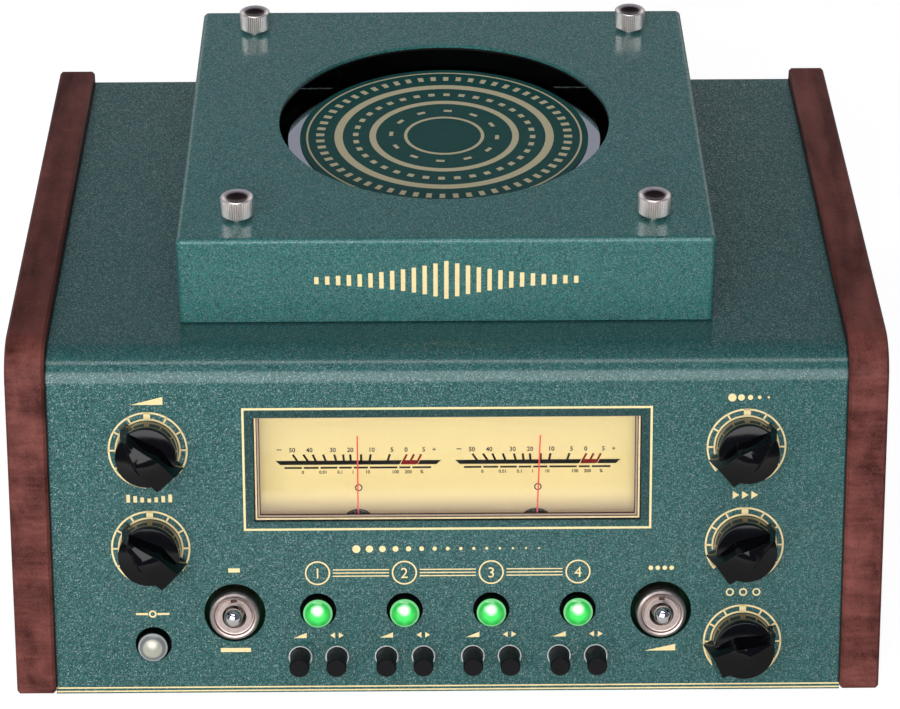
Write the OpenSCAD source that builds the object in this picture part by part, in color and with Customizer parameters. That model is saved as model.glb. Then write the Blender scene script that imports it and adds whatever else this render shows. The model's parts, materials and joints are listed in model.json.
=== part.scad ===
// Tabletop drum echo: a folded sheet-metal case between two wooden cheeks, with a leaning control panel,
// a lift-off cover, and under it a belt-driven drum with heads round its rim. Millimetres, +Z up.
// Every sub-part is drawn from the foot of the cheeks' front edge, and placed() moves it onto its feet.

/* [Case] */
// Width over both cheeks
case_w = 300; // [292:1:320]
// Depth of the cheeks along their foot
case_d = 244; // [240:1:262]
// Height of the cheeks
case_h = 120; // [118:1:130]
// Angle by which the front leans back
front_lean = 16.3; // [14.5:0.1:18]
// Thickness of a cheek
cheek_t = 13.4; // [10:0.1:16]
// Radius of a cheek's upper front corner
cheek_round = 16; // [12:0.5:20]
// Radius of a cheek's other corners
cheek_corner = 2; // [1.6:0.1:4]
// Chamfer round both faces of a cheek
cheek_chamfer = 0.9; // [0.4:0.1:1.4]
// How far the cheeks stand proud of the front panel
front_reveal = 3; // [1.5:0.1:4]
// How far the cheeks stand proud of the top plate
top_reveal = 4; // [2:0.1:5]
// How far the cheeks stand proud of the rear panel
rear_reveal = 3; // [2:0.1:5]
// Thickness of the case's sheet
sheet_t = 2; // [1.5:0.1:2.5]
// Outer radius of the bend between panel and top
bend_r = 13; // [10:0.5:15]
// Width of the case's turned-in flanges
flange_w = 12; // [9:0.5:16]
// Height of a foot
foot_h = 4; // [3:0.5:8]
// Radius of a foot
foot_r = 8; // [6:0.5:10]
// Distance of a foot's centre from the case's edges
foot_inset = 26; // [22:1:34]

/* [Cover] */
// Width of the drum cover
cover_w = 184; // [180:1:196]
// Depth of the drum cover
cover_d = 177.4; // [174:0.2:182]
// Height of the cover's top over the case's top plate
cover_h = 33; // [31:0.5:40]
// Wall of the cover
cover_wall = 2; // [1.5:0.1:3]
// Radius of the cover's edges
cover_edge = 2; // [1:0.1:3]
// Distance of the cover behind the cheeks' foot
cover_front = 58.6; // [54:0.2:60]
// Shadow gap under the cover's walls
cover_gap = 0.6; // [0.3:0.1:1.5]
// Radius of the opening over the drum
opening_r = 59.8; // [58.5:0.1:63]
// How high the cover can be lifted off
cover_lift = 60; // [40:5:80]
// Half the distance between thumbscrews across
thumb_x = 71.5; // [69.5:0.5:74]
// Half the distance between thumbscrews front to back
thumb_y = 72.2; // [69.5:0.5:74]
// Radius of a thumbscrew's head
thumb_r = 5.7; // [4.5:0.1:7]
// Height of a thumbscrew's head
thumb_h = 7; // [5:0.5:8]
// Height of the bare neck under the head
thumb_neck = 1; // [0.5:0.1:2]
// Radius of a thumbscrew's shank
thumb_shank_r = 1.95; // [1.45:0.05:2.45]
// Teeth of the knurl
thumb_teeth = 44; // [24:1:48]
// Depth of the dish in a thumbscrew's top
thumb_dish = 1.3; // [0.8:0.1:1.5]
// Width of the rim round that dish
thumb_rim = 0.7; // [0.5:0.1:1]
// Radius of a post under the cover
post_r = 5; // [4:0.5:6]

/* [Drum] */
// Radius of the drum
drum_r = 57.2; // [55:0.1:57.5]
// Depth of the drum's face below the cover's top
drum_drop = 7; // [5:0.5:8]
// Distance of the drum's axis in front of the cover's centre
drum_ahead = 0.9; // [0:0.1:2]
// Radius of the face disc on the drum
label_r = 52.4; // [45:0.1:53]
// Thickness of the face disc
label_t = 0.5; // [0.3:0.1:1]
// Thickness of the drum's web
drum_web = 4; // [3:0.5:5]
// Thickness of the drum's rim
rim_t = 6; // [5:0.5:9]
// Height of the lips that hold the recording band
rim_lip = 2; // [1.5:0.1:2.5]
// Depth of the band's groove
band_groove = 1.4; // [1.2:0.1:1.8]
// Thickness of the recording band
band_t = 0.8; // [0.5:0.1:1]
// Radius of the drum's hub
hub_r = 13; // [11:0.5:16]
// Radius of the drum's spindle
spindle_r = 4; // [3:0.1:5]
// Thickness of the deck plate
deck_t = 3; // [2:0.1:4]
// Side of the square deck plate
deck_w = 162; // [158:1:168]
// Least gap between the deck plate and the cover's walls
deck_gap = 3; // [2:0.5:5]
// Radius of the bearing's barrel
bearing_r = 10; // [8:0.5:11]
// Radius of the bearing's flange
bearing_flange_r = 15; // [13:0.5:18]
// Thickness of the bearing's flange
bearing_flange_t = 3; // [2:0.1:4]
// Length of the bearing's barrel below the deck's top
bearing_len = 34; // [28:1:36]
// Radius of the hole in the top plate for the drive
drive_hole_r = 54; // [52:0.5:58]

/* [Heads] */
// Height of a head
head_h = 10; // [8:0.5:11]
// Width of a head
head_w = 12; // [10:0.5:14]
// Length of a head
head_len = 16; // [13:0.5:17]
// Width of a head's nose
head_nose = 3; // [2:0.5:4]
// Running gap between a head and the recording band
head_gap = 0.3; // [0.2:0.05:0.5]
// Sheet of a head's bracket
bracket_t = 2; // [1.5:0.1:2.5]
// Place of the erase head round the drum
erase_angle = 118; // [110:1:125]
// Place of the record head round the drum
record_angle = 148; // [140:1:155]
// Place of the first playback head round the drum
playback_angle = 195; // [180:1:200]
// Step from one playback head to the next
playback_step = 45; // [35:1:48]

/* [Drive] */
// Radius of the drum's pulley at the belt
drum_pulley_r = 18; // [14:0.5:19]
// Radius of the motor's pulley at the belt
motor_pulley_r = 6; // [5:0.5:7]
// Distance from the drum's axis to the motor's
motor_distance = 34; // [32:0.5:36]
// Radius of the motor
motor_r = 15.5; // [12:0.5:16]
// Length of the motor
motor_len = 30; // [24:1:34]
// Radius of the motor's shaft
motor_shaft_r = 1.5; // [1:0.1:2]
// Depth of the bore for that shaft
motor_bore = 6; // [5:0.5:7]
// Width of a pulley
pulley_w = 8; // [6:0.5:10]
// Height of a pulley's flanges over its belt seat
pulley_flange = 1.8; // [1:0.1:2.2]
// Width of the belt
belt_w = 4; // [3:0.5:5]
// Thickness of the belt
belt_t = 1; // [0.6:0.1:1.2]

/* [Panel] */
// Distance of the knob columns from the cheeks' outer faces
knob_edge = 47.7; // [44:0.1:50]
// Height up the slope of the upper knobs
knob_v_upper = 88.7; // [86:0.1:92]
// Height up the slope of the middle knobs
knob_v_middle = 53.3; // [51:0.1:56]
// Height up the slope of the lower right knob
knob_v_lower = 17.8; // [17:0.1:20]
// Height up the slope of the bypass button
bypass_v = 18.2; // [17:0.1:20]
// Distance of the toggles from the cheeks' outer faces
toggle_edge = 76.2; // [74:0.1:78]
// Height up the slope of the toggles
toggle_v = 29.5; // [27:0.1:32]
// Step between the head buttons
button_step = 30; // [28:0.1:31]
// Height up the slope of the head buttons
button_v = 30.2; // [29:0.1:33]
// Half the distance between the two trims of a pair
trim_u = 6.4; // [5.5:0.1:7]
// Height up the slope of the trims
trim_v = 13; // [12.5:0.1:14]

/* [Controls] */
// Radius of a knob's round base
knob_r = 10.6; // [9.5:0.1:11.5]
// Height of a knob's base over the panel
knob_rim = 9.5; // [8.5:0.1:10.5]
// Height of a knob's bar over the panel
knob_top = 16; // [14:0.1:18]
// Reach of a knob's beak from its axis
knob_beak = 12.3; // [11.5:0.1:13]
// Reach of a knob's blunt tail from its axis
knob_tail = 12.8; // [12:0.1:13.4]
// Width of a knob's bar at its top
knob_bar_w = 8; // [7:0.1:9]
// Width of a knob's bar where it stands on the base
knob_foot_w = 12; // [11:0.1:13]
// Gap between a knob and the panel
knob_gap = 0.8; // [0.5:0.1:1.5]
// Radius of a potentiometer's shaft
pot_shaft_r = 3; // [2.5:0.1:3.2]
// Radius of a potentiometer's bushing
pot_bush_r = 4; // [3.5:0.1:4.5]
// Radius of a potentiometer's can
pot_r = 8.5; // [7:0.5:9]
// Depth of a potentiometer's can
pot_depth = 10; // [8:0.5:11]
// Radius of a trim's shaft
trim_r = 3.45; // [3:0.05:3.6]
// Length of a trim's shaft over the panel
trim_out = 11; // [8:0.5:13]
// Radius of a button's cap
button_r = 5.06; // [4.5:0.02:5.5]
// Height of a button's dome over the panel
button_out = 5.4; // [4:0.1:7]
// Travel of a button
button_travel = 2.5; // [1.5:0.1:3]
// Radius of the panel's hole round a button
button_hole_r = 6.3; // [5.8:0.1:6.8]
// Side of the switch under a button
switch_side = 12; // [10:0.5:12]
// Height of that switch over its board
switch_h = 7; // [6.5:0.1:7]
// Radius of a toggle's ring nut
toggle_nut_r = 8.7; // [8:0.1:9.5]
// Height of the ring nut over the panel
toggle_nut_out = 4; // [2:0.1:5]
// Radius of the panel's hole round a toggle
toggle_hole_r = 10.6; // [10:0.1:12]
// Radius of a toggle's bushing
toggle_bush_r = 6; // [5.5:0.1:6.5]
// Radius of a toggle lever's ball tip
lever_tip_r = 2.8; // [2.4:0.1:3]
// Reach of a toggle's lever over the panel
lever_out = 13; // [11:0.5:16]
// Tilt of a toggle's lever to either side
lever_tilt = 9.5; // [9:0.5:13]
// Depth of the control board behind the panel's face
board_depth = 16; // [15.5:0.5:18]
// Thickness of a circuit board
board_t = 1.6; // [1.2:0.1:2]

/* [Meter] */
// Width of the meter's window
window_w = 132.8; // [130:0.2:136]
// Lower edge of the window up the slope
window_v = 62.7; // [62:0.1:64]
// Height of the window
window_h = 37.3; // [35:0.1:38]
// Depth of the meter's case behind the panel
meter_depth = 28; // [24:1:32]
// Wall of the meter's case
meter_wall = 2; // [1.5:0.1:2.5]
// How far the meter's case reaches past the window
meter_margin = 4; // [3.5:0.5:5]
// How far the case reaches below the window
meter_foot = 12.3; // [12:0.1:12.6]
// Thickness of the meter's lens
lens_t = 2; // [1.5:0.1:3]
// Depth of the dial behind the lens
dial_depth = 9.5; // [9:0.5:12]
// Thickness of the dial plate
dial_t = 1; // [0.8:0.1:1.5]
// Distance of a needle's pivot from the middle
needle_u = 30.9; // [29:0.1:33]
// Height of the pivots up the slope
needle_v = 56.8; // [56.6:0.1:57.4]
// Length of a needle over its pivot
needle_len = 34; // [31:0.5:36]
// Width of a needle
needle_w = 0.5; // [0.4:0.05:1]
// Radius of a needle's hub
needle_hub_r = 2.2; // [1.8:0.1:2.4]
// Radius of the dome under a needle's hub
hub_cap_r = 6.1; // [5.5:0.1:6.1]
// Height of that dome over the dial
hub_cap_h = 3.6; // [3:0.1:3.6]

/* [Rear] */
// Radius of a socket's bore, for a 6.35 mm plug
jack_bore_r = 3.2; // [3.2:0.01:3.25]
// Depth of a socket's bore
jack_depth = 30; // [28:1:32]
// Radius of a socket's bushing
jack_bush_r = 5; // [4.6:0.1:5.5]
// How far a socket stands out of the rear panel
jack_out = 4; // [3:0.5:5]
// Side of a socket's housing
jack_body = 16; // [14:1:18]
// Step between the sockets
jack_step = 26; // [22:1:30]
// Height of the sockets over the cheeks' foot
jack_z = 46; // [40:1:56]
// Wall behind a socket's bore
jack_back = 3; // [2:0.5:4]
// Width of the nut round a socket's bushing
jack_nut = 2.5; // [2:0.1:3]
// Distance of the power inlet from the cheek beside it
inlet_edge = 43; // [36:1:50]
// Radius of the power inlet's bore
inlet_bore_r = 2.8; // [2.7:0.05:3]
// Radius of the power inlet's contact pin
inlet_pin_r = 1; // [0.8:0.05:1.25]

/* [Fits] */
// Clearance between a shaft and its bearing
running_fit = 0.05; // [0.02:0.01:0.1]
// Gap between fixed pieces that slip into each other
slip_gap = 0.2; // [0.1:0.05:0.25]
// Gap between pieces that pass each other
pass_gap = 0.3; // [0.3:0.05:0.6]

/* [Hidden] */
$fn = 64;

black = [0.05, 0.05, 0.055];
teal = [0.13, 0.35, 0.33];
walnut = [0.27, 0.11, 0.09];
nickel = [0.8, 0.8, 0.8];
cream = [0.96, 0.9, 0.7];

// Case planes
inner_w = case_w - 2 * cheek_t;
top_z = case_h - top_reveal;
rear_y = case_d - rear_reveal;
rear_in = rear_y - sheet_t;
panel_o = [0, front_reveal * cos(front_lean), -front_reveal * sin(front_lean)];
corner_v = (top_z - panel_o.z) / cos(front_lean);
corner_y = panel_o.y + corner_v * sin(front_lean);
bend_turn = 90 - front_lean;
bend_run = bend_r * tan(bend_turn / 2);
top_from = corner_y + bend_run;
bend_steps = 40;

// Point of the panel frame, up the slope and out of it, as [y, z]
function panel_yz(v, h) = [
  panel_o.y + v * sin(front_lean) - h * cos(front_lean),
  panel_o.z + v * cos(front_lean) + h * sin(front_lean)
];
// Depth of the panel's inner face at a given height
function panel_in_y(z) =
  let (v = (z - panel_o.z + sheet_t * sin(front_lean)) / cos(front_lean))
  panel_yz(v, -sheet_t)[0];

// Knob places, with the beak's turn clockwise from upright
knob_u = case_w / 2 - knob_edge;
toggle_u = case_w / 2 - toggle_edge;
knobs = [
  [-knob_u, knob_v_upper, -42.5],
  [-knob_u, knob_v_middle, -46],
  [knob_u, knob_v_upper, 50],
  [knob_u, knob_v_middle, 54.5],
  [knob_u, knob_v_lower, 66]
];
button_us = [for (i = [-1.5:1:1.5]) i * button_step];
buttons = concat([for (u = button_us) [u, button_v]], [[-knob_u, bypass_v]]);
trims = [for (u = button_us, side = [-1, 1]) [u + side * trim_u, trim_v]];
toggles = [[-toggle_u, toggle_v], [toggle_u, toggle_v]];

// The whole part stands on its feet, midway between its foremost knob and its sockets' mouths
front_reach = panel_yz(knob_v_lower - knob_bar_w, knob_top)[0];
mouth_y = rear_y + jack_out;
shift_y = -(front_reach + max(case_d, mouth_y)) / 2;

// Heights over the top plate
cover_top = top_z + cover_h;
cover_under = cover_top - cover_wall;
cover_across = max(cover_w, deck_w + 2 * (cover_wall + deck_gap));
cover_deep = max(cover_d, deck_w + 2 * (cover_wall + deck_gap));
cover_y = cover_front + cover_deep / 2;
drum_y = cover_y - drum_ahead;
deck_top = top_z + deck_t;
drum_top = cover_top - drum_drop - label_t;
hub_z = deck_top + bearing_flange_t + pass_gap;
rim_z = hub_z + rim_lip;
band_r = drum_r - band_groove + running_fit + band_t;
band_low = rim_z + rim_lip;
band_high = drum_top - rim_lip;
head_tip = band_r + head_gap;
head_z = (band_low + band_high) / 2;
head_angles = [
  erase_angle, record_angle,
  for (i = [0:3]) playback_angle + i * playback_step
];

// Heights of the drive, down from the deck
bearing_low = deck_top - bearing_len;
motor_low = top_z - motor_len;
pulley_top = min(bearing_low, motor_low) - pass_gap;
pulley_low = pulley_top - pulley_w;
belt_z = pulley_top - pulley_w / 2;
belt_in = running_fit + pass_gap / 2;
belt_tilt = asin((drum_pulley_r - motor_pulley_r) / motor_distance);
motor_y = drum_y + motor_distance;

// Depths behind the panel's face
board_front = -board_depth + board_t;
toggle_seat = -1;
lever_pivot = -3;
lever_bore_r = 4.2;
lever_root_r = 1.6;
lever_pin_r = 1.2;
lever_pin_reach = 6;
switch_top = board_front + switch_h;
button_low = switch_top + button_travel + pass_gap;
stem_r = 2.5;
stem_low = switch_top - 1.6;
stem_floor = stem_low - button_travel - pass_gap;
trim_body = 8.6;
trim_top = board_front + 6.8;
trim_stem_r = 2;
nut_h = 2;
nut_r = pot_bush_r + 2;
bush_top = nut_h + 1;
board_left = -knob_u - 12;
board_right = toggle_u + 16;
board_low = trim_v - trim_body / 2;
board_high = toggle_v + 18;
stud_r = 2.5;
studs = [
  [board_left + 4, board_high - 4],
  [board_right - 4, board_high - 4],
  [-toggle_u - 12, board_low + 4],
  [board_right - 4, board_low + 4]
];

// Meter places
meter_u = window_w / 2 + meter_margin;
meter_low = window_v - meter_foot;
meter_high = window_v + window_h + meter_margin;
lens_back = -sheet_t - slip_gap - lens_t;
dial_front = lens_back - dial_depth;
dial_back = dial_front - dial_t;
meter_back = -sheet_t - meter_depth;
needle_back = dial_front + hub_cap_h + 0.8;
needle_t = 1;
pivot_r = 1;
needle_rest = [0, 2];

module placed() translate([0, shift_y, foot_h]) children();

// Children drawn with X across the panel, Y up its slope and Z out of it
module on_panel(u, v, h = 0) {
  placed() translate(panel_o) rotate([90 - front_lean, 0, 0]) translate([u, v, h]) children();
}

// Children drawn about the drum's axis
module on_drum(z = 0) placed() translate([0, drum_y, z]) children();

module hole(r, low, high) translate([0, 0, low]) cylinder(r = r, h = high - low);

module block(u, v, h) translate([u[0], v[0], h[0]]) cube([u[1] - u[0], v[1] - v[0], h[1] - h[0]]);

// Case

// Points along the sheet's face, or along a line at depth d in it, as [y, z]
function wrap_line(d) = concat(
  [panel_yz(0, -d)],
  [for (i = [0:bend_steps])
    let (a = front_lean + bend_turn * i / bend_steps)
    [top_from, top_z - bend_r] + (bend_r - d) * [-cos(a), sin(a)]],
  [[rear_y, top_z - d]]
);
function backwards(list) = [for (i = [1:len(list)]) list[len(list) - i]];

module case_wrap() color(teal) difference() {
  union() {
    placed() translate([-inner_w / 2, 0, 0]) rotate([90, 0, 90]) linear_extrude(inner_w)
      polygon(concat(wrap_line(0), backwards(wrap_line(sheet_t))));
    placed() block(
      [-inner_w / 2, inner_w / 2],
      [rear_in - sheet_t, rear_in],
      [top_z - sheet_t - flange_w, top_z - sheet_t]
    );
    for (s = studs) on_panel(s[0], s[1]) hole(stud_r, board_front, -sheet_t / 2);
  }
  on_panel(0, 0) block(
    [-window_w / 2, window_w / 2],
    [window_v, window_v + window_h],
    [-2 * sheet_t, sheet_t]
  );
  for (k = knobs) on_panel(k[0], k[1]) hole(pot_bush_r + running_fit, -2 * sheet_t, sheet_t);
  for (b = buttons) on_panel(b[0], b[1]) hole(button_hole_r, -2 * sheet_t, sheet_t);
  for (t = trims) on_panel(t[0], t[1]) hole(trim_r + 2 * pass_gap, -2 * sheet_t, sheet_t);
  for (t = toggles) on_panel(t[0], t[1]) hole(toggle_hole_r, -2 * sheet_t, sheet_t);
  on_drum() hole(drive_hole_r, top_z - 2 * sheet_t, top_z + sheet_t);
  rear_screw_places(top_z - sheet_t - flange_w / 2)
    translate([0, 0, -3 * sheet_t]) cylinder(r = screw_r + running_fit, h = 3 * sheet_t);
}

screw_r = 1.5;
screw_head_r = 2.9;
screw_head_h = 1.7;
screw_len = 8;
rear_screw_x = inner_w / 2 - 16;
side_screw_ys = [case_d * 0.2, case_d * 0.5, case_d * 0.8];
side_screw_z = sheet_t + flange_w / 2;

// Two screw places on the rear panel, Z pointing out of it
module rear_screw_places(z) {
  for (x = [-rear_screw_x, rear_screw_x]) placed() translate([x, rear_y, z]) rotate([-90, 0, 0]) children();
}

module side_screw_places() {
  for (side = [-1, 1], y = side_screw_ys)
    placed() translate([side * (inner_w / 2 - sheet_t), y, side_screw_z]) rotate([0, -90 * side, 0])
      children();
}

module base_plate() color(black) difference() {
  union() {
    placed() block([-inner_w / 2, inner_w / 2], [panel_in_y(sheet_t) + slip_gap, rear_in], [0, sheet_t]);
    for (x = [-inner_w / 2, inner_w / 2 - sheet_t])
      placed() block([x, x + sheet_t], [foot_inset, rear_in], [sheet_t, sheet_t + flange_w]);
    placed() block(
      [-inner_w / 2, inner_w / 2],
      [rear_in - sheet_t, rear_in],
      [sheet_t, sheet_t + flange_w]
    );
    for (p = board_pillars) placed() translate([p[0], p[1], 0]) hole(stud_r + 0.5, sheet_t, main_board_z);
  }
  rear_screw_places(side_screw_z)
    translate([0, 0, -3 * sheet_t]) cylinder(r = screw_r + running_fit, h = 3 * sheet_t);
  side_screw_places() translate([0, 0, -2 * sheet_t]) cylinder(r = screw_r + running_fit, h = 3 * sheet_t);
}

module rear_panel() color(teal) difference() {
  placed() block([-inner_w / 2, inner_w / 2], [rear_in, rear_y], [0, top_z - sheet_t]);
  for (x = jack_xs) on_rear(x) hole(jack_bush_r + running_fit, -2 * sheet_t, sheet_t);
  on_rear(inlet_x) hole(inlet_bush_r + running_fit, -2 * sheet_t, sheet_t);
  for (z = [side_screw_z, top_z - sheet_t - flange_w / 2])
    rear_screw_places(z) hole(screw_r + running_fit, -2 * sheet_t, sheet_t);
}

// Side view of a cheek as [y, z], and the radius of each corner
cheek_outline = [[0, 0], [case_d, 0], [case_d, case_h], [case_h * tan(front_lean), case_h]];
cheek_radii = [cheek_corner, cheek_corner, cheek_corner, cheek_round];

function unit(v) = v / norm(v);
// Centre of a circle of radius r that touches both sides of corner i
function corner_center(points, i, r) =
  let (
    p = points[i],
    a = unit(points[(i + 3) % 4] - p),
    b = unit(points[(i + 1) % 4] - p)
  )
  p + unit(a + b) * r / sin(acos(a * b) / 2);

module cheek(x) color(walnut) placed() translate([x, 0, 0]) rotate([90, 0, 90]) hull() {
  for (i = [0:3]) translate(corner_center(cheek_outline, i, cheek_radii[i])) {
    translate([0, 0, cheek_chamfer])
      cylinder(r = cheek_radii[i], h = cheek_t - 2 * cheek_chamfer, $fn = 96);
    cylinder(r = cheek_radii[i] - cheek_chamfer, h = cheek_t, $fn = 96);
  }
}

module left_cheek() cheek(-case_w / 2);

module right_cheek() cheek(case_w / 2 - cheek_t);

module feet() color(black) {
  for (x = [-1, 1], y = [foot_inset, case_d - foot_inset])
    placed() translate([x * (inner_w / 2 - foot_inset + cheek_t), y, -foot_h]) rotate_extrude() polygon([
      [0, 0], [foot_r - 1, 0], [foot_r, foot_h], [0, foot_h]
    ]);
}

// Pan-head screws: four in the rear panel, six through the base plate's flanges into the cheeks
module case_screws() color(nickel) {
  for (z = [side_screw_z, top_z - sheet_t - flange_w / 2]) rear_screw_places(z) screw();
  side_screw_places() screw();
}

module screw() rotate_extrude($fn = 32) polygon([
  [0, -screw_len], [screw_r, -screw_len], [screw_r, 0], [screw_head_r, 0],
  [screw_head_r, screw_head_h / 2], [screw_head_r * 0.6, screw_head_h], [0, screw_head_h]
]);

// Cover

thumb_places = [for (y = [-1, 1], x = [-1, 1]) [x * thumb_x, cover_y + y * thumb_y]];
thumb_hole_r = thumb_shank_r + pass_gap;

module drum_cover() color(teal) difference() {
  placed() hull() for (x = [-1, 1], y = [-1, 1]) {
    translate([x * (cover_across / 2 - cover_edge), cover_y + y * (cover_deep / 2 - cover_edge), 0]) {
      translate([0, 0, cover_top - cover_edge]) sphere(r = cover_edge, $fn = 24);
      translate([0, 0, top_z + cover_gap]) cylinder(r = cover_edge, h = 1, $fn = 24);
    }
  }
  placed() block(
    [-cover_across / 2 + cover_wall, cover_across / 2 - cover_wall],
    [cover_front + cover_wall, cover_front + cover_deep - cover_wall],
    [top_z - 1, cover_under]
  );
  on_drum() hole(opening_r, cover_under - 1, cover_top + 1);
  for (p = thumb_places) placed() translate(p) hole(thumb_hole_r, cover_under - 1, cover_top + 1);
}

// Captive screw with a straight knurl and a dished top, drawn from the cover's top
module thumbscrew(i) {
  root_r = thumb_r - 0.35;
  top = thumb_neck + thumb_h;
  dish_half = thumb_r - thumb_rim;
  dish_r = (dish_half * dish_half + thumb_dish * thumb_dish) / (2 * thumb_dish);
  knurl = [for (k = [0:2 * thumb_teeth - 1])
    let (r = k % 2 == 0 ? thumb_r : root_r, a = 180 * k / thumb_teeth)
    r * [cos(a), sin(a)]];
  color(nickel) placed() translate([thumb_places[i].x, thumb_places[i].y, cover_top]) difference() {
    union() {
      rotate_extrude($fn = 48) polygon([
        [0, -screw_reach], [thumb_shank_r - 0.4, -screw_reach], [thumb_shank_r, 0.4 - screw_reach],
        [thumb_shank_r, 0], [thumb_hole_r + 1, 0], [thumb_hole_r + 1, thumb_neck],
        [root_r - 0.4, thumb_neck], [root_r - 0.1, top - 0.3], [root_r - 0.3, top], [0, top]
      ]);
      translate([0, 0, thumb_neck + 0.5]) linear_extrude(thumb_h - 0.8) polygon(knurl);
    }
    translate([0, 0, top - thumb_dish + dish_r]) sphere(r = dish_r, $fn = 96);
  }
}

screw_reach = cover_wall + 18;

module cover_posts() color(nickel) for (p = thumb_places) placed() translate(p) difference() {
  hole(post_r, deck_top, cover_under);
  hole(thumb_shank_r + running_fit, cover_top - screw_reach - 2, cover_under + 1);
}

// Drum

module drum_body() color(nickel) on_drum() rotate_extrude($fn = 128) polygon([
  [spindle_r + running_fit, hub_z], [hub_r, hub_z], [hub_r, drum_top - drum_web],
  [drum_r - rim_t, drum_top - drum_web], [drum_r - rim_t, rim_z], [drum_r, rim_z],
  [drum_r, rim_z + rim_lip], [drum_r - band_groove, rim_z + rim_lip],
  [drum_r - band_groove, drum_top - rim_lip], [drum_r, drum_top - rim_lip],
  [drum_r, drum_top - 0.5], [drum_r - 0.5, drum_top], [spindle_r + running_fit, drum_top]
]);

module drum_face() color(teal) on_drum() hole(label_r, drum_top, drum_top + label_t);

module recording_band() color(black) on_drum() difference() {
  hole(band_r, band_low, band_high);
  hole(drum_r - band_groove + running_fit, band_low - 1, band_high + 1);
}

module drum_spindle() color(nickel) on_drum() hole(spindle_r, pulley_low - 2, drum_top);

module drum_pulley() color(nickel) on_drum() pulley(drum_pulley_r, spindle_r + running_fit);

// Flanged pulley between pulley_low and pulley_top, with a bore
module pulley(r, bore_r) {
  lip = (pulley_w - belt_w) / 2 - pass_gap;
  rotate_extrude($fn = 96) polygon([
    [bore_r, pulley_low], [r + pulley_flange, pulley_low], [r + pulley_flange, pulley_low + lip / 2],
    [r, pulley_low + lip], [r, pulley_top - lip], [r + pulley_flange, pulley_top - lip / 2],
    [r + pulley_flange, pulley_top], [bore_r, pulley_top]
  ]);
}

module deck_plate() color(nickel) difference() {
  placed() block([-deck_w / 2, deck_w / 2], [cover_y - deck_w / 2, cover_y + deck_w / 2], [top_z, deck_top]);
  on_drum() hole(bearing_r + running_fit, top_z - 1, deck_top + 1);
}

// Flanged bush that carries the spindle
module drum_bearing() color([0.75, 0.6, 0.3]) on_drum() rotate_extrude() polygon([
  [spindle_r + running_fit, bearing_low], [bearing_r, bearing_low], [bearing_r, deck_top],
  [bearing_flange_r, deck_top], [bearing_flange_r, deck_top + bearing_flange_t],
  [spindle_r + running_fit, deck_top + bearing_flange_t]
]);

module drive_motor() color(nickel) placed() translate([0, motor_y, 0]) rotate_extrude() polygon([
  [motor_shaft_r + running_fit, motor_low + motor_bore], [motor_shaft_r + running_fit, motor_low],
  [3 * motor_shaft_r, motor_low], [3 * motor_shaft_r, motor_low + 2], [motor_r - 1, motor_low + 2],
  [motor_r, motor_low + 3], [motor_r, top_z - 1], [motor_r - 1, top_z], [0, top_z], [0, motor_low + motor_bore]
]);

// The motor's pulley with its shaft, two solids that turn as one
module motor_pulley() color(nickel) placed() translate([0, motor_y, 0]) {
  pulley(motor_pulley_r, motor_shaft_r + running_fit);
  hole(motor_shaft_r, pulley_low - 1, motor_low + motor_bore - 1);
}

// Flat belt round both pulleys. The arcs are a hair thinner than the straights, which lap into them
module drive_belt() color(black) on_drum(belt_z - belt_w / 2) {
  big_r = drum_pulley_r + belt_in;
  small_r = motor_pulley_r + belt_in;
  run = motor_distance * cos(belt_tilt);
  lap = 0.2;
  union() {
    rotate([0, 0, 180 - belt_tilt]) arc(big_r, 180 + 2 * belt_tilt);
    translate([0, motor_distance, 0]) rotate([0, 0, belt_tilt]) arc(small_r, 180 - 2 * belt_tilt);
    for (side = [0, 1]) mirror([side, 0, 0])
      rotate([0, 0, belt_tilt]) translate([big_r, -lap, 0]) cube([belt_t, run + 2 * lap, belt_w]);
  }
}

module arc(r, angle) rotate_extrude(angle = angle, $fn = 96)
  translate([r + 0.02, 0]) square([belt_t - 0.04, belt_w]);

// Heads

// One head, its nose reaching between the drum's lips to the recording band
module head(angle) on_drum(head_z - head_h / 2) rotate([0, 0, angle]) linear_extrude(head_h) polygon([
  [head_tip, -head_nose / 2], [head_tip + head_len * 0.35, -head_w / 2], [head_tip + head_len, -head_w / 2],
  [head_tip + head_len, head_w / 2], [head_tip + head_len * 0.35, head_w / 2], [head_tip, head_nose / 2]
]);

module erase_head() color([0.6, 0.6, 0.62]) head(head_angles[0]);

module record_head() color([0.7, 0.7, 0.72]) head(head_angles[1]);

module playback_heads() color([0.7, 0.7, 0.72]) for (i = [2:5]) head(head_angles[i]);

// Angle brackets that stand on the deck behind the heads
module head_brackets() color([0.55, 0.5, 0.35]) for (a = head_angles) on_drum() rotate([0, 0, a]) {
  back = head_tip + head_len;
  union() {
    block([back, back + bracket_t], [-head_w / 2, head_w / 2], [deck_top, head_z + head_h / 2]);
    block([back - head_len / 2, back], [-head_w / 2, head_w / 2], [deck_top, deck_top + bracket_t]);
  }
}

// Boards

main_board_z = 12;
main_board_w = 190;
main_board_y = [90, rear_in - jack_depth];
board_pillars = [for (x = [-1, 1], y = main_board_y)
  [x * (main_board_w / 2 - 6), y + (y == main_board_y[0] ? 6 : -6)]];

module main_board() color([0.1, 0.3, 0.15]) placed() block(
  [-main_board_w / 2, main_board_w / 2], main_board_y, [main_board_z, main_board_z + board_t]
);

module control_board() color([0.1, 0.3, 0.15]) on_panel(0, 0)
  block([board_left, board_right], [board_low, board_high], [-board_depth, board_front]);

// Controls

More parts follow.
